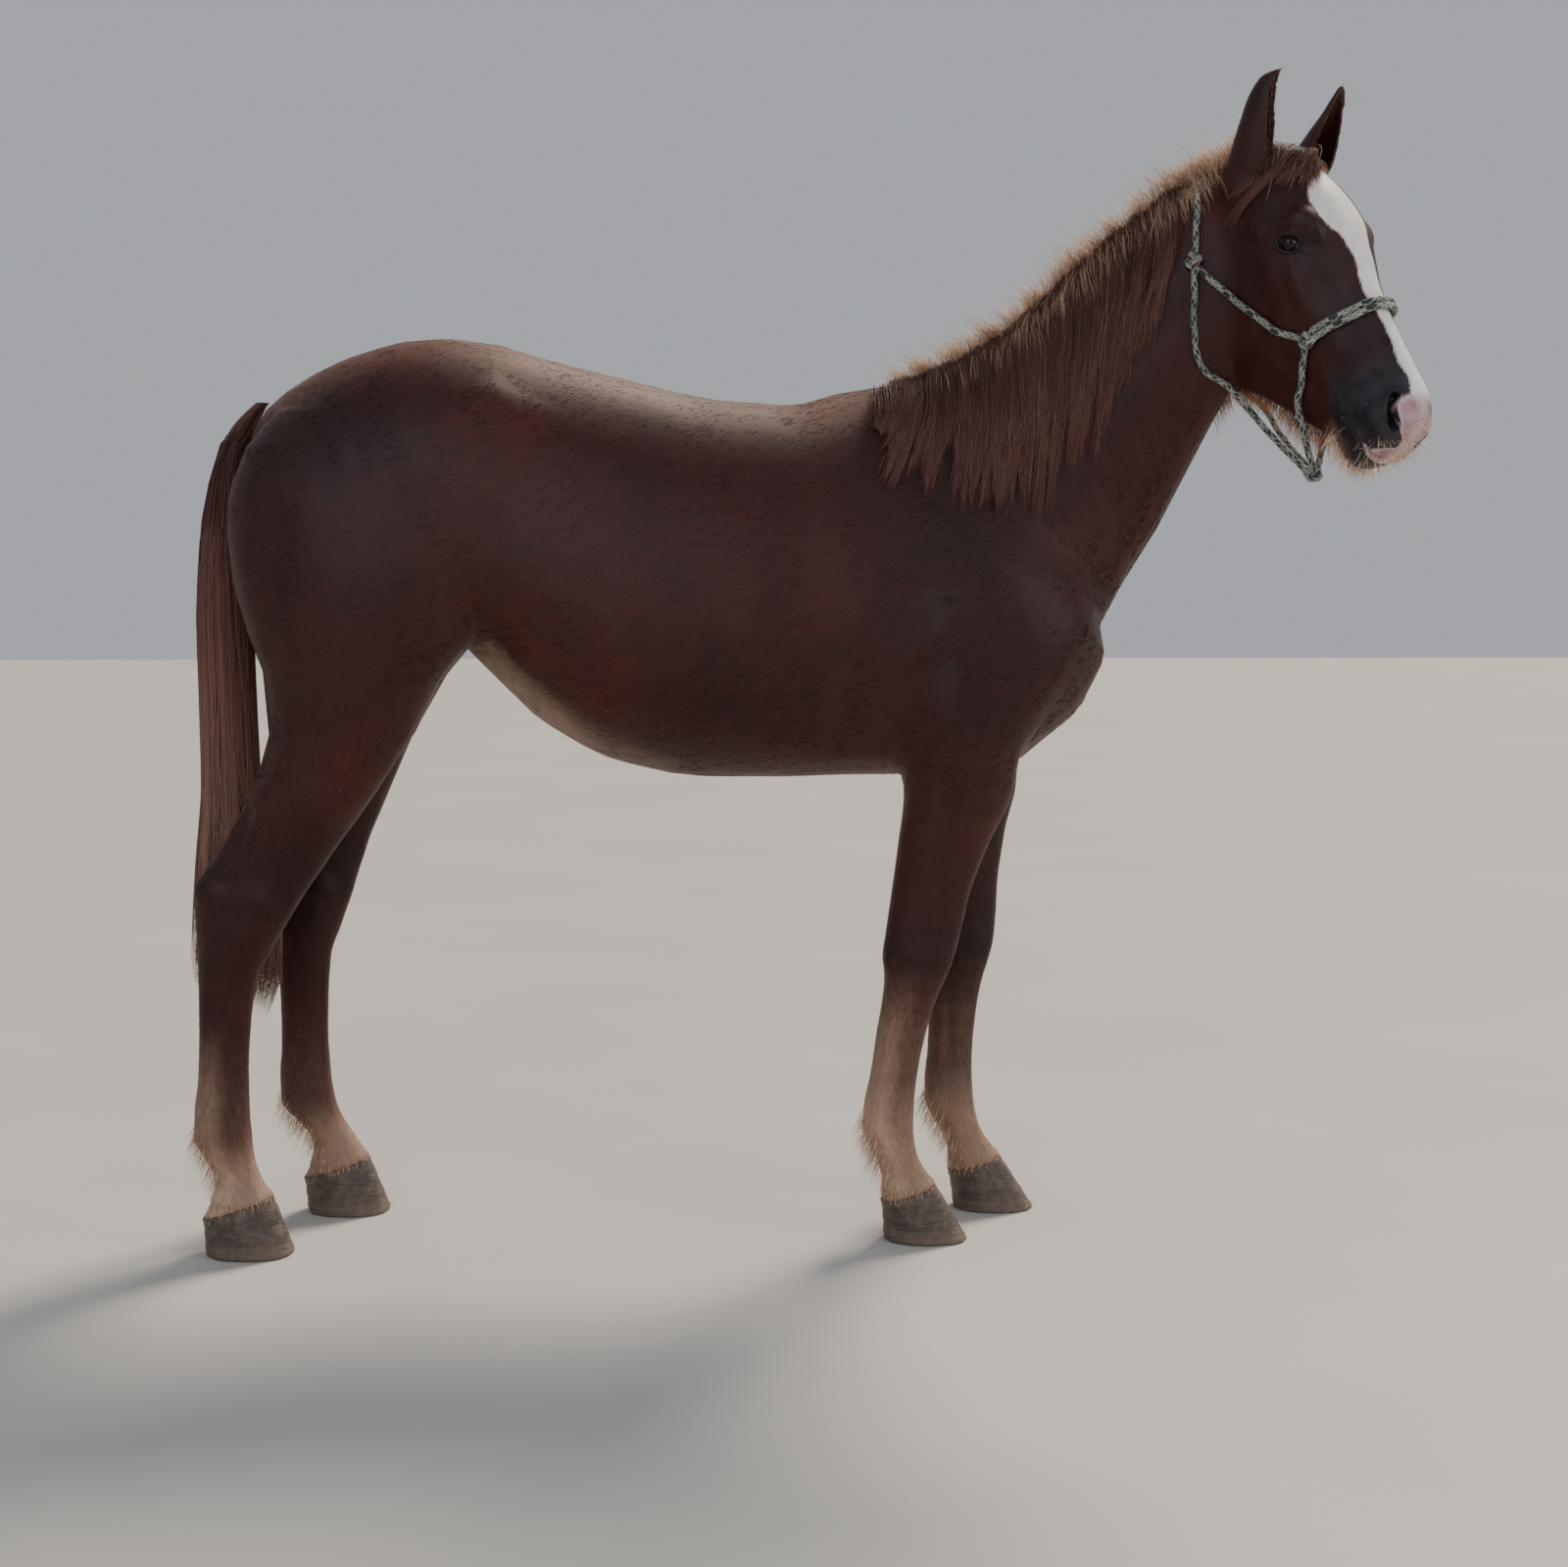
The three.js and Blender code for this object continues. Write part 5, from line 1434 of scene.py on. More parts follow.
def coat_tufts(name, places, normals, lengths, widths, lift, look):
    """Flat pointed tufts of four faces each that lie along the coat."""
    count = len(places)
    way = lie(places, normals)
    way = unit(way + np.cross(normals, way) * chance.normal(0, 0.16, (count, 1)))
    half = np.cross(normals, way) * (widths / 2)[:, None]
    low = places - normals * 0.07
    tip = places + way * lengths[:, None] + normals * lift[:, None]
    mid = places + way * (lengths * 0.35)[:, None] + normals * (lift * 0.35 - 0.02)[:, None]
    points = np.stack([low + half, low - half, tip, mid], 1).reshape(-1, 3)
    faces = np.array([[0, 3, 2], [2, 3, 1], [1, 3, 0], [0, 2, 1]])
    faces = (faces + (np.arange(count) * 4)[:, None, None]).reshape(-1, 3)
    mesh = mesh_of(name, placed(points), faces)

    def each(values):
        return np.repeat(values, 4, axis=0)

    # Each tuft takes the light as the skin below it does.
    shade = unit(normals + chance.normal(0, 0.015, normals.shape))
    mesh.normals_split_custom_set_from_vertices(each(shade).tolist())
    mark(mesh, each(markings(places)))
    region = region_of(places)
    spot = unwrap(places, region)
    corner = loops_of(mesh)
    patch = PATCH * np.array([[1, 0], [0, 0], [0.5, 1], [0.5, 0.4]]) - PATCH / 2
    strip = [[0, 0], [0, 0.0016], [0.012, 0.0008], [0.004, 0.0008]]
    for layer, spots, own in (
            ("OFBake", sheet_map(spot, region), patch), ("lie", lie_map(spot, region), strip)):
        flat_map(mesh, layer, (each(spots) + np.tile(own, (count, 1)))[corner])
    return object_of(mesh, look)


# ------------------------------------------------------------------- pieces


def eyeball(side, look):
    """A round eye with its gaze laid out flat, for the iris and pupil."""
    centre = in_head(EYE * [1, side, 1])
    u, v, w = EYE_AXES * [1, -side, 1] @ HEAD_AXES
    c, s = turns(56)
    rings = []
    for turn in np.linspace(0.02, math.pi - 0.02, 40):
        bulge = 1.0 + 0.5 * max(0, math.cos(turn) - 0.8)  # the cornea
        flat = np.outer(c, u) + np.outer(s, v)
        ring = w * math.cos(turn) * bulge + math.sin(turn) * flat
        rings.append(centre + (EYE_RADIUS - 1.2) * ring)
    points, quads, fans = loft(rings)
    mesh = mesh_of(f"eyeball_{'right' if side < 0 else 'left'}", placed(points), quads, fans)
    gaze = (points - centre) @ np.array([u, v]).T / EYE_RADIUS
    flat_map(mesh, "gaze", gaze[loops_of(mesh)])
    return object_of(mesh, look)


# How much wider the hoof is at the ground than at the coronet, and how far its heel and its hind
# and fore toes run forward.
HOOF_FLARE, HEEL_RUN, HIND_TOE_RUN, FORE_TOE_RUN = 11, 4, 32, 54


def hoof(name, at, lead, side, toe_run, look):
    """Horn from the coronet to the ground, with rings, a flare at the toe and a chipped rim."""
    z_top, sides = at.first, 72
    top = leg_ring(at, lead, side, z_top, sides, grow=1)
    back, front, out, half, _ = at(z_top)
    foot = lead(0) if side > 0 else 0
    heel, toe = back + foot + HEEL_RUN, front + foot + toe_run
    c, s = turns(sides)
    square = power(c, 0.8)
    wide = (half + HOOF_FLARE) * (1 - 0.14 * np.maximum(0, -square))
    along, across = (heel + toe) / 2 + (toe - heel) / 2 * square, wide * power(s, 0.85)
    ground = columns(along, side * out + across, 0)
    rings = []
    for share in (*np.linspace(0, 0.93, 26), 0.97, 1.0):
        ring = ground + (top - ground) * share
        wave = 0.35 * np.sin(share * 41 + 1.3 * np.sin(2 * c + side))
        wave += 0.5 * np.sin(share * 17 + 2 * c) + 0.5 * np.sin(5 * c + 3 * s + share * 6)
        chip = np.clip(np.sin(7 * c + 4 * s + out) * np.sin(11 * s + side), 0, 1)
        chip = chip * max(0, 1 - share * 7)
        flare = 2.5 * max(0, 0.35 - share) / 0.35 * np.clip(c, 0, 1)
        edge = -2.5 if share == 0 else (-1.2 if share > 0.98 else 0)
        away = unit((ring - ring.mean(0)) * [1, 1, 0])
        rings.append(ring + away * (wave + flare - 2.2 * chip - 0.6 + edge)[:, None])
    points, quads, fans = loft(rings)
    return object_of(mesh_of(name, placed(points), quads, fans), look)


def rope_tree():
    """Geometry nodes that sweep a braided cord along a line, its yarns raised where they cross."""
    tree = bpy.data.node_groups.new("braided cord", "GeometryNodeTree")
    for name, kind, way in (
            ("Line", "Geometry", "INPUT"), ("Radius", "Float", "INPUT"),
            ("Braid length", "Float", "INPUT"), ("Relief", "Float", "INPUT"),
            ("Material", "Material", "INPUT"), ("Cord", "Geometry", "OUTPUT")):
        tree.interface.new_socket(name, in_out=way, socket_type="NodeSocket" + kind)
    add = partial(node, tree)
    given = add("NodeGroupInput").outputs
    line = add("GeometryNodeMeshToCurve", [given["Line"]])
    line = add("GeometryNodeResampleCurve", {"Curve": line, "Length": 0.0024}, mode="LENGTH")
    ring = add("GeometryNodeCurvePrimitiveCircle", {"Resolution": 16, "Radius": given["Radius"]})
    kept = []
    for curve, measure in ((line, "Length"), (ring, "Factor")):
        capture = add("GeometryNodeCaptureAttribute", [curve])
        capture.capture_items.new("FLOAT", measure)
        tree.links.new(add("GeometryNodeSplineParameter").outputs[measure], capture.inputs[measure])
        kept += [capture, capture.outputs[measure]]
    line, length, ring, turn = kept
    cord = add("GeometryNodeCurveToMesh", {"Curve": line, "Profile Curve": ring, "Fill Caps": True})
    angle = add("Math MULTIPLY", [turn, ROUND])
    along = add("Math MULTIPLY", [add("Math DIVIDE", [length, given["Braid length"]]), ROUND])
    waves = []
    for way in (1.0, -1.0):
        phase = add("Math MULTIPLY_ADD", [angle, 4.0, add("Math MULTIPLY", [along, way])])
        waves.append(add("Math COSINE", [phase]))
    height = add("Math MULTIPLY", [add("Math MAXIMUM", waves), given["Relief"]])
    rise = add("VectorMath SCALE", {0: add("GeometryNodeInputNormal"), "Scale": height})
    moved = add("GeometryNodeSetPosition", {0: cord, "Offset": rise})
    around = add("CombineXYZ", [add("Math COSINE", [angle]), add("Math SINE", [angle]), length])
    stored = add("GeometryNodeStoreNamedAttribute", {0: moved, "Name": "around", "Value": around},
                 data_type="FLOAT_VECTOR", domain="POINT")
    real = add("GeometryNodeRealizeInstances", [add("GeometryNodeSetShadeSmooth", [stored])])
    dressed = add("GeometryNodeSetMaterial", {0: real, "Material": given["Material"]})
    add("NodeGroupOutput", [dressed])
    return tree


def through(points, fine=14):
    """A smooth line through points (Catmull-Rom)."""
    p = np.vstack([2 * points[0] - points[1], points, 2 * points[-1] - points[-2]])
    t = np.linspace(0, 1, fine, endpoint=False)[:, None]
    parts = []
    for a, b, c, d in zip(p, p[1:], p[2:], p[3:]):
        parts.append(0.5 * (2 * b + (c - a) * t + (2 * a - 5 * b + 4 * c - d) * t**2
                            + (3 * b - a - 3 * c + d) * t**3))
    return np.vstack(parts + [p[-2:-1]])


def cord(name, lines, radius, tree, look):
    """Braided cord along one or more lines, as a plain mesh."""
    points, edges = [], []
    for line in lines:
        first = len(points)
        points += placed(line).tolist()
        edges += [(n, n + 1) for n in range(first, len(points) - 1)]
    mesh = bpy.data.meshes.new(name)
    mesh.from_pydata(points, edges, [])
    piece = object_of(mesh)
    sweep = piece.modifiers.new("cord", "NODES")
    sweep.node_group = tree
    sockets = {
        item.name: item.identifier for item in tree.interface.items_tree if item.in_out == "INPUT"}
    for key, value in (("Radius", radius / 1000), ("Braid length", BRAID), ("Relief", BRAID_RELIEF),
                       ("Material", look)):
        sweep[sockets[key]] = value
    finished_mesh(piece).name = piece.name = name
    return piece


BRAID_RELIEF = 0.00035  # metres that a yarn stands up where it crosses over
# Radii: a cord, the noseband's two cords together, a cord where it is tied, and a whole knot.
ROPE, NOSE_ROPE, KNOT_ROPE, KNOT = 5.0, 8.0, 4.7, 10.0
STALL_MIDDLE = np.array([658.0, -100.0, 1580.0])
STALL_ACROSS = unit([0.36, 0.93, 0])
CHEEK_KNOT_TURN = 88  # degrees round the headstall from the crest
COAT = 4.0  # how deep the coat is over the skin
NOSEBAND = 302  # its place down the face


def halter(finder, tree, look):
    """The rope halter's pieces: it lies on the coat, found by looking in at the skin."""
    def laid(start, target, radius=ROPE):
        way = unit(np.asarray(target) - start)
        return on_skin(start, way, finder) - way * (radius + COAT - 1.0)

    def stall(degrees):
        turn = math.radians(degrees)
        out = STALL_ACROSS * 400 * math.sin(turn) + [0, 0, 400 * math.cos(turn)]
        return laid(STALL_MIDDLE + out, STALL_MIDDLE)

    def cheek(side, s, z, radius=ROPE):
        return laid(in_head(s, side * 300, z), in_head(s, 0, z), radius)

    def nose(degrees, s):
        turn = math.radians(degrees)
        out = in_head(s, 300 * math.sin(turn), -95 + 300 * math.cos(turn))
        return laid(out, in_head(s, 0, -95))

    over_poll = (-CHEEK_KNOT_TURN, -74, -60, -45, -30, -15, 0, 15, 30, 45, 60, 74, CHEEK_KNOT_TURN)
    over_nose = (-78, -62, -48, -32, -16, 0, 16, 32, 48, 62, 78)
    made = {"crown": [[stall(a) for a in over_poll]], "noseband": [
        [cheek(-1, NOSEBAND, -95)] + [nose(a, 300 + lean) for a in over_nose]
        + [cheek(1, NOSEBAND, -95)] for lean in (-5.2, 5.2)]}
    for side, word in ((-1, "right"), (1, "left")):
        knot, nose_knot = stall(side * CHEEK_KNOT_TURN), cheek(side, NOSEBAND, -95, NOSE_ROPE)
        down_cheek = ((100, -190), (128, -184), (165, -173), (195, -162), (221, -150), (245, -140),
                      (262, -132), (284, -112))
        made[f"cheek_{word}"] = [[knot] + [cheek(side, s, z) for s, z in down_cheek] + [nose_knot]]
        under = [(238, -94, -264), (272, -40, -266)] if side < 0 else [(262, 36, -288)]
        under += [(310, side * 24, -262), (376, side * 13, -247), (452, side * 7, -222)]
        made[f"throat_{word}"] = [[knot] + [stall(side * a) for a in (100, 112, 124, 134, 143, 150)]
                                  + [in_head(p) for p in under]]
        down_jaw = ((316, -112), (330, -128), (345, -142))
        free = ((366, side * 46, -166), (412, side * 25, -192), (452, side * 7, -210))
        made[f"chin_{word}"] = [[nose_knot] + [cheek(side, s, z) for s, z in down_jaw]
                                + [in_head(p) for p in free]]
        for name, place in ((f"knot_cheek_{word}", knot), (f"knot_nose_{word}", nose_knot)):
            out = unit(place - in_head(200, 0, -150)) * 3
            made[name] = [knot_line(place + out, side * 0.5, 1.0)]
    made["knot_chin"] = [knot_line(in_head(458, 0, -218), *tie) for tie in ((0.3, 1.1), (1.4, 0.9))]
    pieces = []
    for name, lines in made.items():
        tied = name.startswith("knot")
        lines = lines if tied else [through(np.array(line)) for line in lines]
        radius = KNOT_ROPE if tied else ROPE
        pieces.append(cord(f"halter_{name}_cord", lines, radius, tree, look))
        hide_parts(f"halter_{name}")
    return pieces


def knot_line(place, turn, size):
    """One cord tied in an overhand knot, drawn up tight."""
    t = np.linspace(0, 2 * math.pi, 90)
    x, y = np.sin(t) + 2 * np.sin(2 * t), np.cos(t) - 2 * np.cos(2 * t)
    tied = columns(x, y, -1.5 * np.sin(3 * t))
    c, s = math.cos(turn), math.sin(turn)
    tied = tied * (KNOT / 3 * size) @ np.array([[c, -s, 0], [s, c, 0], [0, 0, 1]])
    return place + tied[:, [0, 2, 1]] @ HEAD_AXES


# ------------------------------------------------------------- the whole horse

skin = make_skin()
mark_skin(skin.data)
touch = feel(skin.data)
coat_look, horn_look, eye_look = coat_material(), hoof_material(), eye_material()
skin.data.materials.append(coat_look)
# The mane's root colour is lighter than its middle: painted light on the sunlit top of the mane and
# forelock.
mane_look = long_hair_material("mane_hair_sunlit_roots_bleached_tips", "#6e473b", "#44251f", "#80574d", 0.5)
tail_look = long_hair_material("tail_hair_sun_bleached", "#42241e", "#5f3a32", "#8f6b5b", 0.48)
# Pale hair of the feathers, coronets, whiskers and chin; on the crest and the poll its cream is
# painted glow of sunlit hair.
pale_and_glowing_fringe_look = long_hair_material("pale_fringe_hair_and_painted_glow", "#7c4e3c", "#bd8d6e", "#ecd0b2", 0.5)
# Reddish hair of the ears and jaw; the light orange tips of the beard under the jaw are painted
# sunlight.
red_and_sunlit_hair_look = long_hair_material("red_hair_and_painted_sunlight", "#4a2618", "#7d4a2e", "#bd8a60", 0.5)

pieces = {"coat": [skin], "long_hair": [], "hoof_horn": [], "eye": []}
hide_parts("trunk", "neck", "head", "leg_hind_right", "leg_hind_left", "leg_fore_right",
            "leg_fore_left", "ear_right", "ear_left")
for side, word in ((-1, "right"), (1, "left")):
    ball = eyeball(side, eye_look)
    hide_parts(f"eye_{word}")
    pieces["eye"].append(ball)
    for pair, at, lead, toe_run in (("hind", hind_leg, hind_lead, HIND_TOE_RUN),
                                    ("fore", fore_leg, fore_lead, FORE_TOE_RUN)):
        horn = hoof(f"horn_{pair}_{word}", at, lead, side, toe_run, horn_look)
        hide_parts(f"hoof_{pair}_{word}")
        pieces["hoof_horn"].append(horn)
pieces["halter_rope"] = halter(touch, rope_tree(), rope_material())


def long_piece(mesh, look, *nodes):
    piece = object_of(mesh, look)
    if nodes:
        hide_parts(*nodes)
    pieces["long_hair"].append(piece)


# Mane: locks fall to the right from the crest, in two meshes.
RIGHT = np.array([0.0, -1.0, 0.0])
MANE_LOCKS, LOCK_GUIDES, GUIDE_STRANDS = 46, 5, 14
for part in (1, 2):
    guides = mane_guides(MANE_LOCKS, LOCK_GUIDES, 11, touch)
    locks = strands_on(guides, GUIDE_STRANDS, [7.0, 5.0, 4.0], 0.2, touch, (1.5, 20.0), wave=5.5)
    light = np.repeat(chance.normal(0.15, 0.2, MANE_LOCKS), LOCK_GUIDES * GUIDE_STRANDS)
    light = np.clip(light + chance.normal(0, 0.22, len(locks)), 0, 1)
    widths = chance.uniform(0.5, 1.6, len(locks))
    long_piece(hair_mesh(f"mane_locks_{part}", locks, widths, RIGHT, light), mane_look, "mane")

# Short upright hair along the crest. Neighbouring hairs lean together, and differ in height by the
# knots of a random line.
CREST_HAIRS = 8600
share = chance.uniform(-0.12, 0.97, CREST_HAIRS)
roots = np.array([crest(a) for a in share])
roots += columns(chance.normal(0, 6, CREST_HAIRS), chance.normal(0, 9, CREST_HAIRS), -2.0)
knots = np.linspace(-0.12, 0.97, 70)
clump = columns(*(np.interp(share, knots, chance.normal(0, 0.3, 70)) for _ in range(2)), 0)
ways = clump + columns(
    chance.normal(-0.4, 0.25, CREST_HAIRS), chance.normal(-0.1, 0.4, CREST_HAIRS), 1.0)
bends = columns(
    chance.normal(-0.15, 0.2, CREST_HAIRS), chance.normal(-0.2, 0.25, CREST_HAIRS), -0.2)
tall = chance.uniform(34, 84, CREST_HAIRS) * np.interp(share, knots, chance.uniform(0.65, 1.05, 70))
# Some fall over the mane, and where it starts at the withers all lie forward and down.
over = chance.random(CREST_HAIRS) < 0.45
ways = np.where(over[:, None], [0.0, -0.8, 0.5] + chance.normal(0, 0.2, (CREST_HAIRS, 3)), ways)
bends = np.where(over[:, None], [0.0, -0.1, -1.1], bends)
start = between(share, 0.12, 0.0)[:, None]
ways = ways * (1 - start) + ([0.75, -0.6, 0.22] + chance.normal(0, 0.1, (CREST_HAIRS, 3))) * start
bends = bends * (1 - start) + np.array([0.0, -0.15, -0.5]) * start
start = start[:, 0]
widths = chance.uniform(0.6, 1.4, CREST_HAIRS) * np.where(over, 0.7, 1)
# Upright crest hairs are paler: painted glow of sunlit hair, less on those over the mane and fading
# out at the withers.
light = np.clip(chance.normal(0.4, 0.3, CREST_HAIRS) * (1 - start) - 0.35 * over, 0, 1)
outs = unit(np.cross(ways, [0.3, 1, 0]))
tall = tall * (1 - 0.35 * start)
upright = short_hairs("mane_crest_hair", roots, ways, tall, widths, bends, outs, light)
long_piece(upright, pale_and_glowing_fringe_look, "mane")

# The tail's outline by height: its back and its front, and half its width.
tail = profile([
    [352, -930, -868, 14], [392, -968, -842, 30], [450, -984, -832, 42], [540, -979, -832, 52],
    [640, -970, -850, 56], [760, -957, -862, 56], [890, -957, -866, 55], [1010, -958, -868, 53],
    [1135, -950, -872, 49], [1245, -936, -870, 42], [1305, -921, -862, 35], [1340, -897, -850, 29],
    [1372, -862, -826, 22],
])
TAIL_STRANDS, TAIL_LOCKS = 1900, 64  # in each of its two meshes


def tail_paths(count, steps, locks):
    """Strands that hang side by side inside the tail's outline, in wavy locks."""
    lock = chance.integers(0, locks, count)
    centre_turn, centre_far = chance.random(locks) * 6.3, chance.random(locks) ** 0.3
    turn = centre_turn[lock] + chance.normal(0, 0.16, count)
    far = np.clip(centre_far[lock] + chance.normal(0, 0.07, count), 0, 1)
    top = 1368 - 130 * chance.random(count) ** 1.5 * (far > 0.5)
    bottom = np.interp(chance.random(locks), [0, 0.6, 1], [354, 400, 520])[lock]
    bottom = bottom + chance.random(count) ** 2.5 * 170
    wave, phase = chance.normal(0, 0.09, locks)[lock], (chance.random(locks) * 6.3)[lock]
    out = np.empty((count, steps, 3))
    for k, t in enumerate(np.linspace(0, 1, steps)):
        z = top + (bottom - top) * t
        back, front, half = tail(z)
        a = turn + wave * np.sin(phase + z / 60)
        r = far * (0.55 + 0.45 * min(t * 5, 1)) * 0.98
        x = (front + back) / 2 + (front - back) / 2 * r * np.cos(a)
        out[:, k] = columns(x, half * r * np.sin(a), z)
    return out


for part in (1, 2):
    paths = tail_paths(TAIL_STRANDS, 15, TAIL_LOCKS)
    outs = unit((paths[:, 6] - [-912.0, 0, 0]) * [1, 1, 0])
    light = mostly(0.12, 0.25, TAIL_STRANDS)
    widths = chance.uniform(1.4, 3.4, TAIL_STRANDS)
    long_piece(hair_mesh(f"tail_locks_{part}", paths, widths, outs, light), tail_look, "tail")

# The fleshy dock that the tail's hair grows from.
rings = []
for z, end in zip(np.linspace(1372, 960, 30), np.linspace(0, 1, 30)):
    (back, front, half), (c, s) = tail(z), turns(32)
    size = 0.62 * math.sqrt(max(1.0 - end**3, 0.01))
    rings.append(columns((back + front) / 2 + (front - back) / 2 * size * c, half * size * s, z))
points, quads, fans = loft(rings)
dock = mesh_of("tail_dock", placed(points), quads, fans)
colour_layer(dock, "strand", np.tile([0.25, 0.35, 0.0], (len(points), 1)))
flat_map(dock, "lie", points[loops_of(dock)][:, [2, 1]] / 1000)
long_piece(dock, tail_look, "tail")

# Forelock: from the poll down to the right of the forehead and past the temple.
FORELOCK = [  # start and end by the head's own axes, and how many guides go there
    ((8, -8), (81, -84, -127), 7), ((0, -14), (40, -80, -98), 6), ((12, -6), (56, -78, -54), 6),
    ((14, 4), (78, -74, -20), 4), ((16, 10), (96, -42, 12), 4), ((18, 14), (120, -61, 2), 3),
    ((10, 0), (58, -52, 4), 5),
]
guides = []
for begin, end, number in FORELOCK:
    for _ in range(number):
        stop = np.array(end) * chance.uniform(0.8, 1.04) + chance.normal(0, 6, 3)
        start = np.array([*begin, 0]) + chance.normal(0, 9, 3)
        start[2] = head(max(start[0], -40))[0] - 6
        t = np.linspace(0, 1, 11)[:, None]
        bow = np.sin(np.pi * np.clip(t * 1.25, 0, 1))
        bow = bow * [chance.normal(4, 6), chance.normal(-8, 6), chance.uniform(12, 26)]
        guides.append(in_head(start * (1 - t) + stop * t**1.1 + bow))
locks = strands_on(np.array(guides), 42, 4.5, 0.3, touch, (1.2, 14.0), wave=4.5)
forelock = hair_mesh("forelock_locks", locks, chance.uniform(0.4, 1.1, len(locks)),
                     HEAD_AXES[2] - 0.7 * HEAD_AXES[1], mostly(0.15, 0.28, len(locks)))
long_piece(forelock, mane_look, "forelock")

# Fluff over the poll: half between the ears, half behind them, where it stands up.
FLUFF = 2300
behind = np.arange(FLUFF)[:, None] % 2 == 0
over_crest = columns(chance.uniform(640, 728, FLUFF), chance.normal(0, 13, FLUFF), 1900.0)
(x, y, _), end = crest(0.96), POLL
over_crest[:, 1] += np.interp(over_crest[:, 0], [x, end[0]], [y, end[1]])
between_ears = in_head(columns(chance.uniform(-22, 30, FLUFF), chance.normal(0, 15, FLUFF), 90.0))
roots = []
for place, standing in zip(np.where(behind, over_crest, between_ears), behind):
    found = on_skin(place, [0, 0, -1] if standing else -HEAD_AXES[2], touch)
    roots.append(POLL if found is None else found)
down, left, out = HEAD_AXES
ways = np.where(behind, [-0.25, 0.05, 1.0], down * 0.75 + out * 0.8 - left * 0.15)
ways = ways + chance.normal(0, 0.2, (FLUFF, 3))
bends = np.where(behind, [-0.1, 0.05, -0.2], down * 0.35 - out * 0.75 - left * 0.3)
bends = bends + chance.normal(0, 0.1, (FLUFF, 3))
lengths = chance.uniform(30, 62, FLUFF) * np.where(behind[:, 0], 0.95, 1.1)
# The cream of the fluff is painted glow of sunlit hair over the poll.
fluff = short_hairs("poll_fluff", np.array(roots) - unit(ways), ways, lengths,
                    chance.uniform(0.5, 1.1, FLUFF), bends, np.where(behind, RIGHT, out),
                    mostly(0.35, 0.3, FLUFF), steps=6)
long_piece(fluff, pale_and_glowing_fringe_look, "forelock")


def hair_over(name, look, count, weight, rise, way, stray, length, width, bend, sway, light=None,
              outs=RIGHT, steps=5, taller=None):
    """Short hair over part of the skin. It leaves along `way` and `rise` times the normal, and
    turns towards `bend`; `stray` and `sway` are how far single hairs differ in these."""
    places, normals = scattered(skin.data, count, weight)
    ways = unit(normals * rise + way + chance.normal(0, stray, (count, 3)))
    lengths = chance.uniform(*length, count) * (taller(places) if taller else 1)
    widths = chance.uniform(*width, count)
    bends = bend + chance.normal(0, sway, (count, 3))
    outs = outs(ways, normals) if callable(outs) else outs
    shares = mostly(*light, count) if light else np.ones(count)
    roots = places - normals * 0.5
    long_piece(short_hairs(name, roots, ways, lengths, widths, bends, outs, shares, steps), look)


def behind_fetlock(p):
    x, y, z = p.T
    keep = np.zeros(len(p))
    for side in (-1, 1):
        for at, lead, low in ((hind_leg, hind_lead, 120), (fore_leg, fore_lead, 118)):
            back = at(np.clip(z, 80, 400))[0] + (lead(np.clip(z, 80, 400)) if side > 0 else 0)
            near = (np.abs(x - back) < 26) * (y * side > 20) * (z > low) * (z < 225)
            keep = np.maximum(keep, near * between(z, 240, 170))
    return keep


def at_coronet(p):
    return between(p[:, 2], 104, 88) * (p[:, 2] > 66)


def under_jaw(p):
    s, y, z = to_head(p).T
    inside = (p[:, 0] > 700) * (np.abs(y) < 20) * (z < head(np.clip(s, 0, 505))[1] + 18)
    return inside * between(s, 235, 280) * between(s, 440, 400)


def on_muzzle(p):
    s = to_head(p)[:, 0]
    inside = (p[:, 0] > 700) * (s < 520) * (closeness(near_side(p), NOSTRIL, 26) < 0.1)
    return inside * between(s, 420, 490) * (1 + 5 * (s > 486))


def on_chin(p):
    s, _, z = to_head(p).T
    return (p[:, 0] > 700) * between(s, 415, 440) * (s < 505) * between(z, -128, -150)


hair_over("fetlock_feathers", pale_and_glowing_fringe_look, 1500, behind_fetlock, 0.25, [-0.3, 0, -1.0], 0.12,
          (14, 34), (0.5, 1.1), [-0.1, 0, -0.35], 0.15, (0.7, 0.2),
          outs=lambda ways, normals: unit(np.cross(ways, [0, 1, 0.01])))
hair_over("coronet_hair", pale_and_glowing_fringe_look, 2600, at_coronet, 0.3, [0.1, 0, -1.0], 0.2,
          (8, 17), (0.7, 1.5), [0, 0, -0.1], 0.1, (0.15, 0.2),
          outs=lambda ways, normals: normals, steps=4)
# The beard's light orange tips: painted sunlight on the hair under the jaw.
hair_over("jaw_beard", red_and_sunlit_hair_look, 1300, under_jaw, 0.7, [0.1, 0, -1.0], 0.2,
          (12, 26), (0.3, 0.6), [-0.1, 0, -0.3], 0.25, (0.6, 0.25),
          taller=lambda p: 1 + 0.5 * between(to_head(p)[:, 0], 300, 380))
hair_over("muzzle_whiskers", pale_and_glowing_fringe_look, 300, on_muzzle, 1, down * 0.3, 0.2,
          (8, 24), (0.45, 0.8), down * 0.2, 0.12)
hair_over("chin_bristles", pale_and_glowing_fringe_look, 240, on_chin, 0.8, [0.0, 0, -1.0], 0.22,
          (14, 36), (0.6, 1.1), [0, 0, 0], 0.15, (0.9, 0.2))

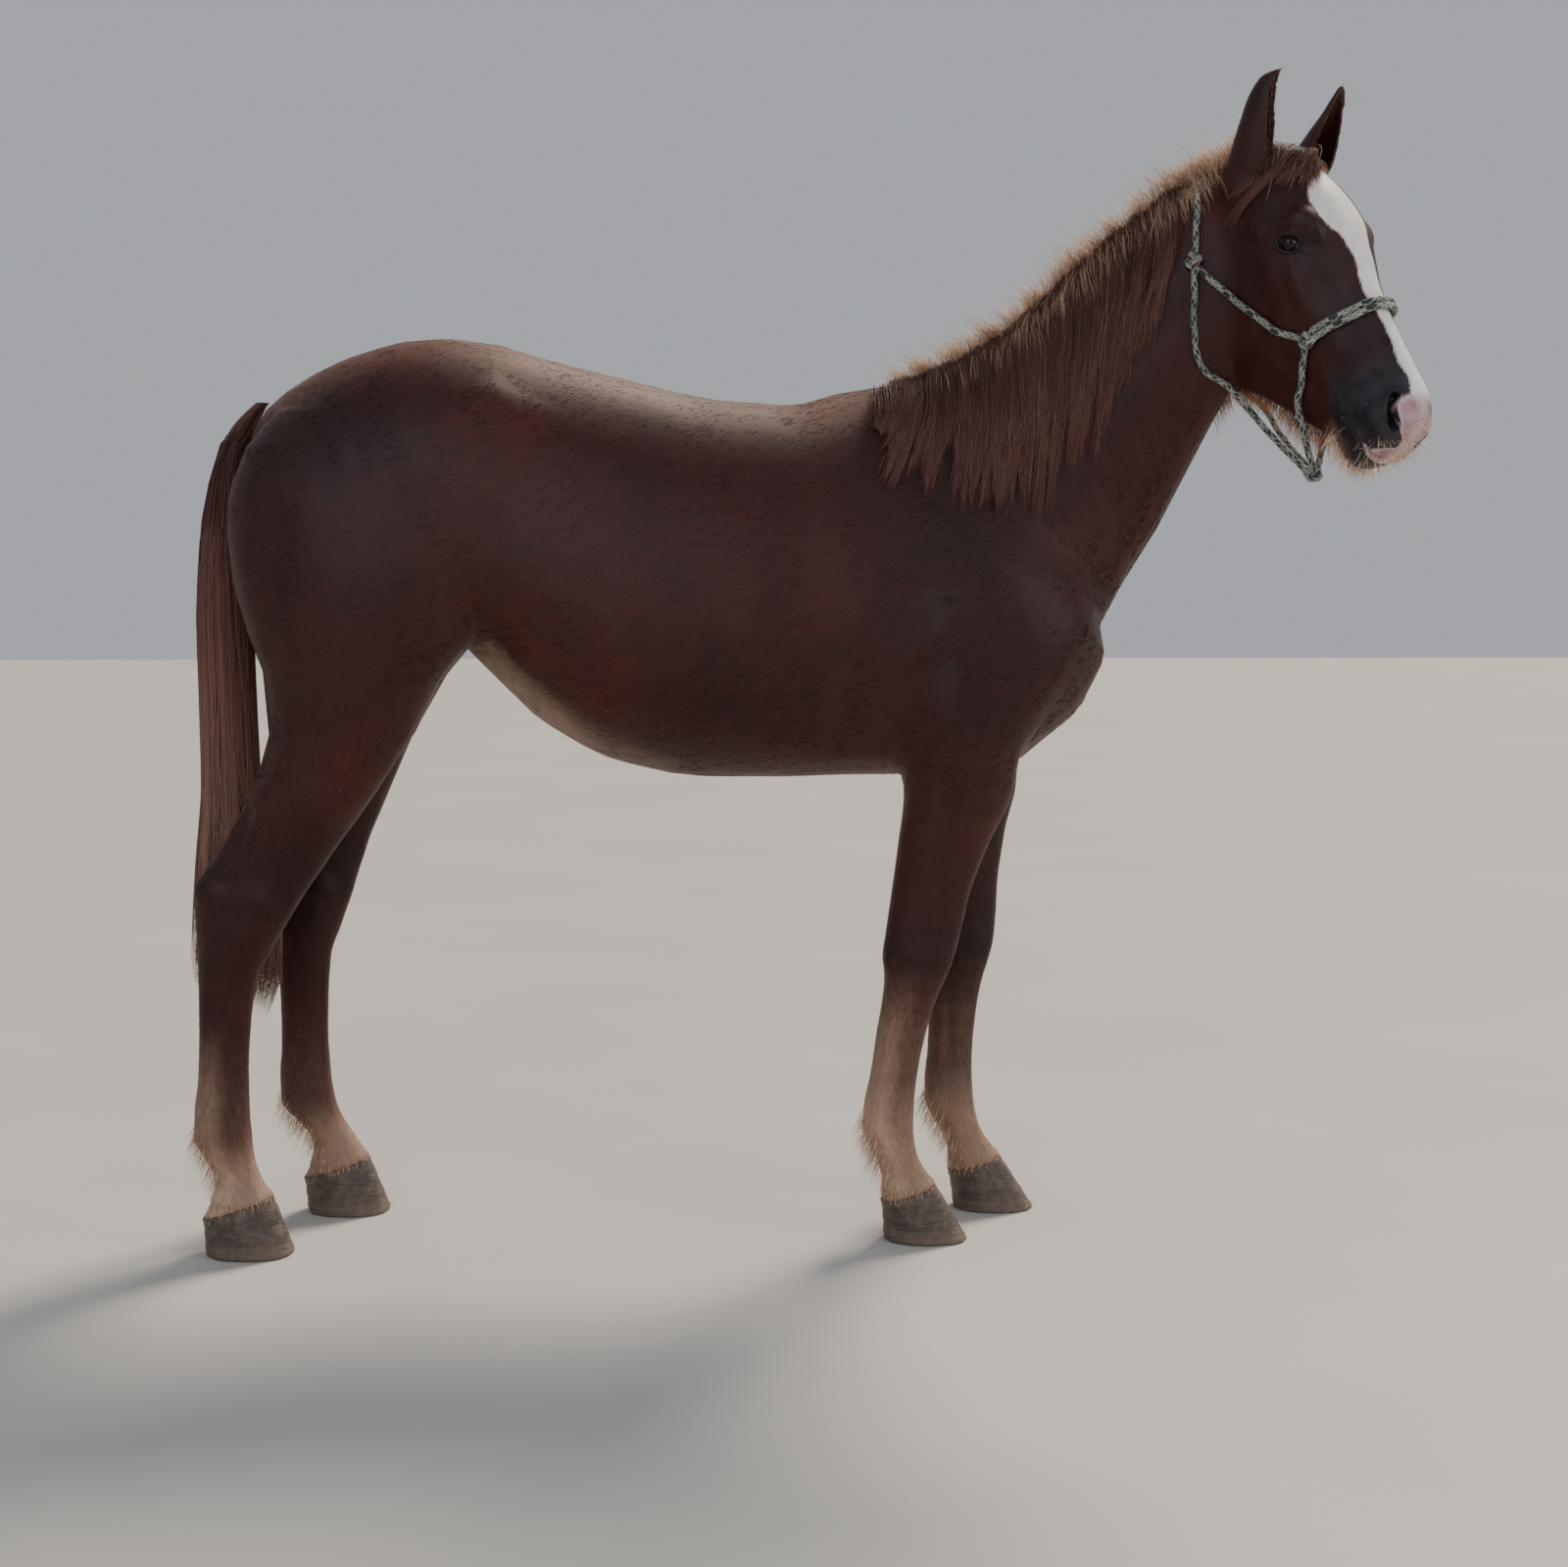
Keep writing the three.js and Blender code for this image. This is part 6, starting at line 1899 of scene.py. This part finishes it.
# Lashes on the upper lids.
roots, ways = [], []
for side in (-1, 1):
    mirror = [1, -side, 1]
    for x in np.linspace(-0.82, 0.7, 46):
        a = np.array([x * EYE_LONG, (1 - abs(x) ** 2) ** 0.69 * UPPER_LID + 0.6])
        far = np.hypot(*a)
        way = np.append(a / far * math.sin(far / EYE_RADIUS), math.cos(far / EYE_RADIUS))
        out = (way * (EYE_RADIUS + LID - 0.4)) @ EYE_AXES * mirror
        roots.append(in_head(out + EYE * [1, side, 1]))
        way = np.array([0.25 * x, 0.35, 1.0]) + chance.normal(0, 0.1, 3)
        ways.append(way @ EYE_AXES * mirror @ HEAD_AXES)
count = len(roots)
lashes = short_hairs("eye_lashes", np.array(roots), np.array(ways), chance.uniform(7, 12, count),
                     np.full(count, 0.5), [0, 0, -0.35], RIGHT, np.zeros(count))
long_piece(lashes, mane_look)

# Fringe along the edges of the ears, and the softer hair inside them.
EAR_HAIRS = 500
roots, ways, outs = [], [], []
for side in (-1, 1):
    _, _, along, open_way, across = ear_axes(side)
    for _ in range(EAR_HAIRS):
        share, edge = chance.uniform(0.04, 0.985), chance.choice([-1, 1])
        inside = chance.random() < 0.25
        degrees = edge * ears[side](share)[1] * (chance.uniform(0.6, 1) if inside else 1)
        deep = 1.2 + (EAR_THICKNESS - 1 if inside else EAR_THICKNESS / 2)
        roots.append(ear_place(side, share, degrees, deep))
        ways.append(along + open_way * 0.2 - across * edge * 0.2 + chance.normal(0, 0.08, 3))
        outs.append(open_way)
count = len(roots)
fringe = short_hairs("ear_fringe", np.array(roots), np.array(ways), chance.uniform(2.5, 6, count),
                     chance.uniform(0.25, 0.4, count), chance.normal(0, 0.15, (count, 3)),
                     np.array(outs), mostly(0.2, 0.25, count), steps=4)
long_piece(fringe, red_and_sunlit_hair_look)


# Tufts of the short coat, smallest on the face and feet. By region: how close together they stand,
# how long they are and how wide.
DENSE = np.array([0.75, 0.9, 2.4, 1.4, 1.4, 1.5, 1.5, 2.5, 2.5])
LONG = np.array([12, 12, 12, 9, 9, 9, 9, 6, 6])
WIDE = np.array([1.7, 1.7, 1.7, 1.4, 1.4, 1.4, 1.4, 1.0, 1.0])
TUFTS = 42000  # in each of three meshes


def coat_weight(p):
    region = region_of(p)
    q = near_side(p)
    bare = between(q[:, 0] - muzzle(q[:, 2]), 0, 40) * (region == HEAD) * 0.85
    bare = np.maximum(fine_places(q, 30, 26, 12), bare)
    return DENSE[region] * (1 - np.clip(bare * 2, 0, 1)) * (p[:, 2] > 84)


for part in (1, 2, 3):
    places, normals = scattered(skin.data, TUFTS, coat_weight)
    region = region_of(places)
    # Short on the head, longer down the neck and on the body, short again on the legs and ears.
    past = between(past_neck(places), 70, -90)
    near_head = (region == NECK) | (region == HEAD)
    long_ = LONG[region] * np.where(places[:, 2] < 260, 0.75, 1.0)
    long_ = np.where(near_head, 5 + 7 * past, long_)
    wide = np.where(near_head, 0.9 + 0.8 * past, WIDE[region])
    size = chance.uniform(0.75, 1.25, TUFTS)
    under = between(places[:, 2], 830, 770) * (region == TRUNK)
    lift = long_ * size * (0.02 + 0.035 * chance.random(TUFTS) + 0.05 * under)
    pieces["coat"].append(coat_tufts(f"coat_tufts_{part}", places, normals, long_ * size,
                                     wide * size, lift, coat_look))

# ------------------------------------------------------------ stage and camera

corners = np.array([[-30, -30, 0], [30, -30, 0], [30, 30, 0], [-30, 30, 0]], float)
floor = object_of(mesh_of("floor", corners, [[0, 1, 2, 3]]), floor_material())

for slot, group in pieces.items():
    for piece in group:
        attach(piece, "root")


def aimed(data, place, way):
    """A camera or lamp at a place in metres, looking along a way."""
    piece = object_of(data)
    piece.location, piece.rotation_mode = place, "QUATERNION"
    piece.rotation_quaternion = Vector(way).to_track_quat("-Z", "Y")
    return piece


TURN, DIP = math.radians(2.6), math.radians(5.39)
view = (math.sin(TURN) * math.cos(DIP), math.cos(TURN) * math.cos(DIP), -math.sin(DIP))
camera = aimed(bpy.data.cameras.new("camera"), placed([-151, -3327, 1065]), view)
camera.data.sensor_width, camera.data.lens = 36, 36 * 2050 / 1600
bpy.context.scene.camera = camera

LAMPS = [  # place, what it lights, width, power, colour
    ("fill", (-1.5, -5.0, 3.2), (0, 0, 0.9), 4.0, 90, "#e8eefc"),
    ("front", (4.0, -2.4, 2.4), (0.4, 0, 1.2), 2.4, 50, "#ffffff"),
]
for name, place, target, width, power, colour in LAMPS:
    lamp = bpy.data.lights.new(name, "AREA")
    lamp.shape, lamp.size, lamp.energy, lamp.color = "DISK", width, power, linear(colour)[:3]
    aimed(lamp, place, Vector(target) - Vector(place))
key = bpy.data.lights.new("key", "SUN")
key.energy, key.angle, key.color = 4.4, math.radians(20), linear("#fff0dd")[:3]
aimed(key, (0, 0, 0), (-0.42, -0.62, -0.8))
world = bpy.data.worlds.new("world")
bpy.context.scene.world = world
world.use_nodes = True
sky = world.node_tree.nodes["Background"].inputs
sky["Color"].default_value, sky["Strength"].default_value = linear("#dfe4ea"), 0.58
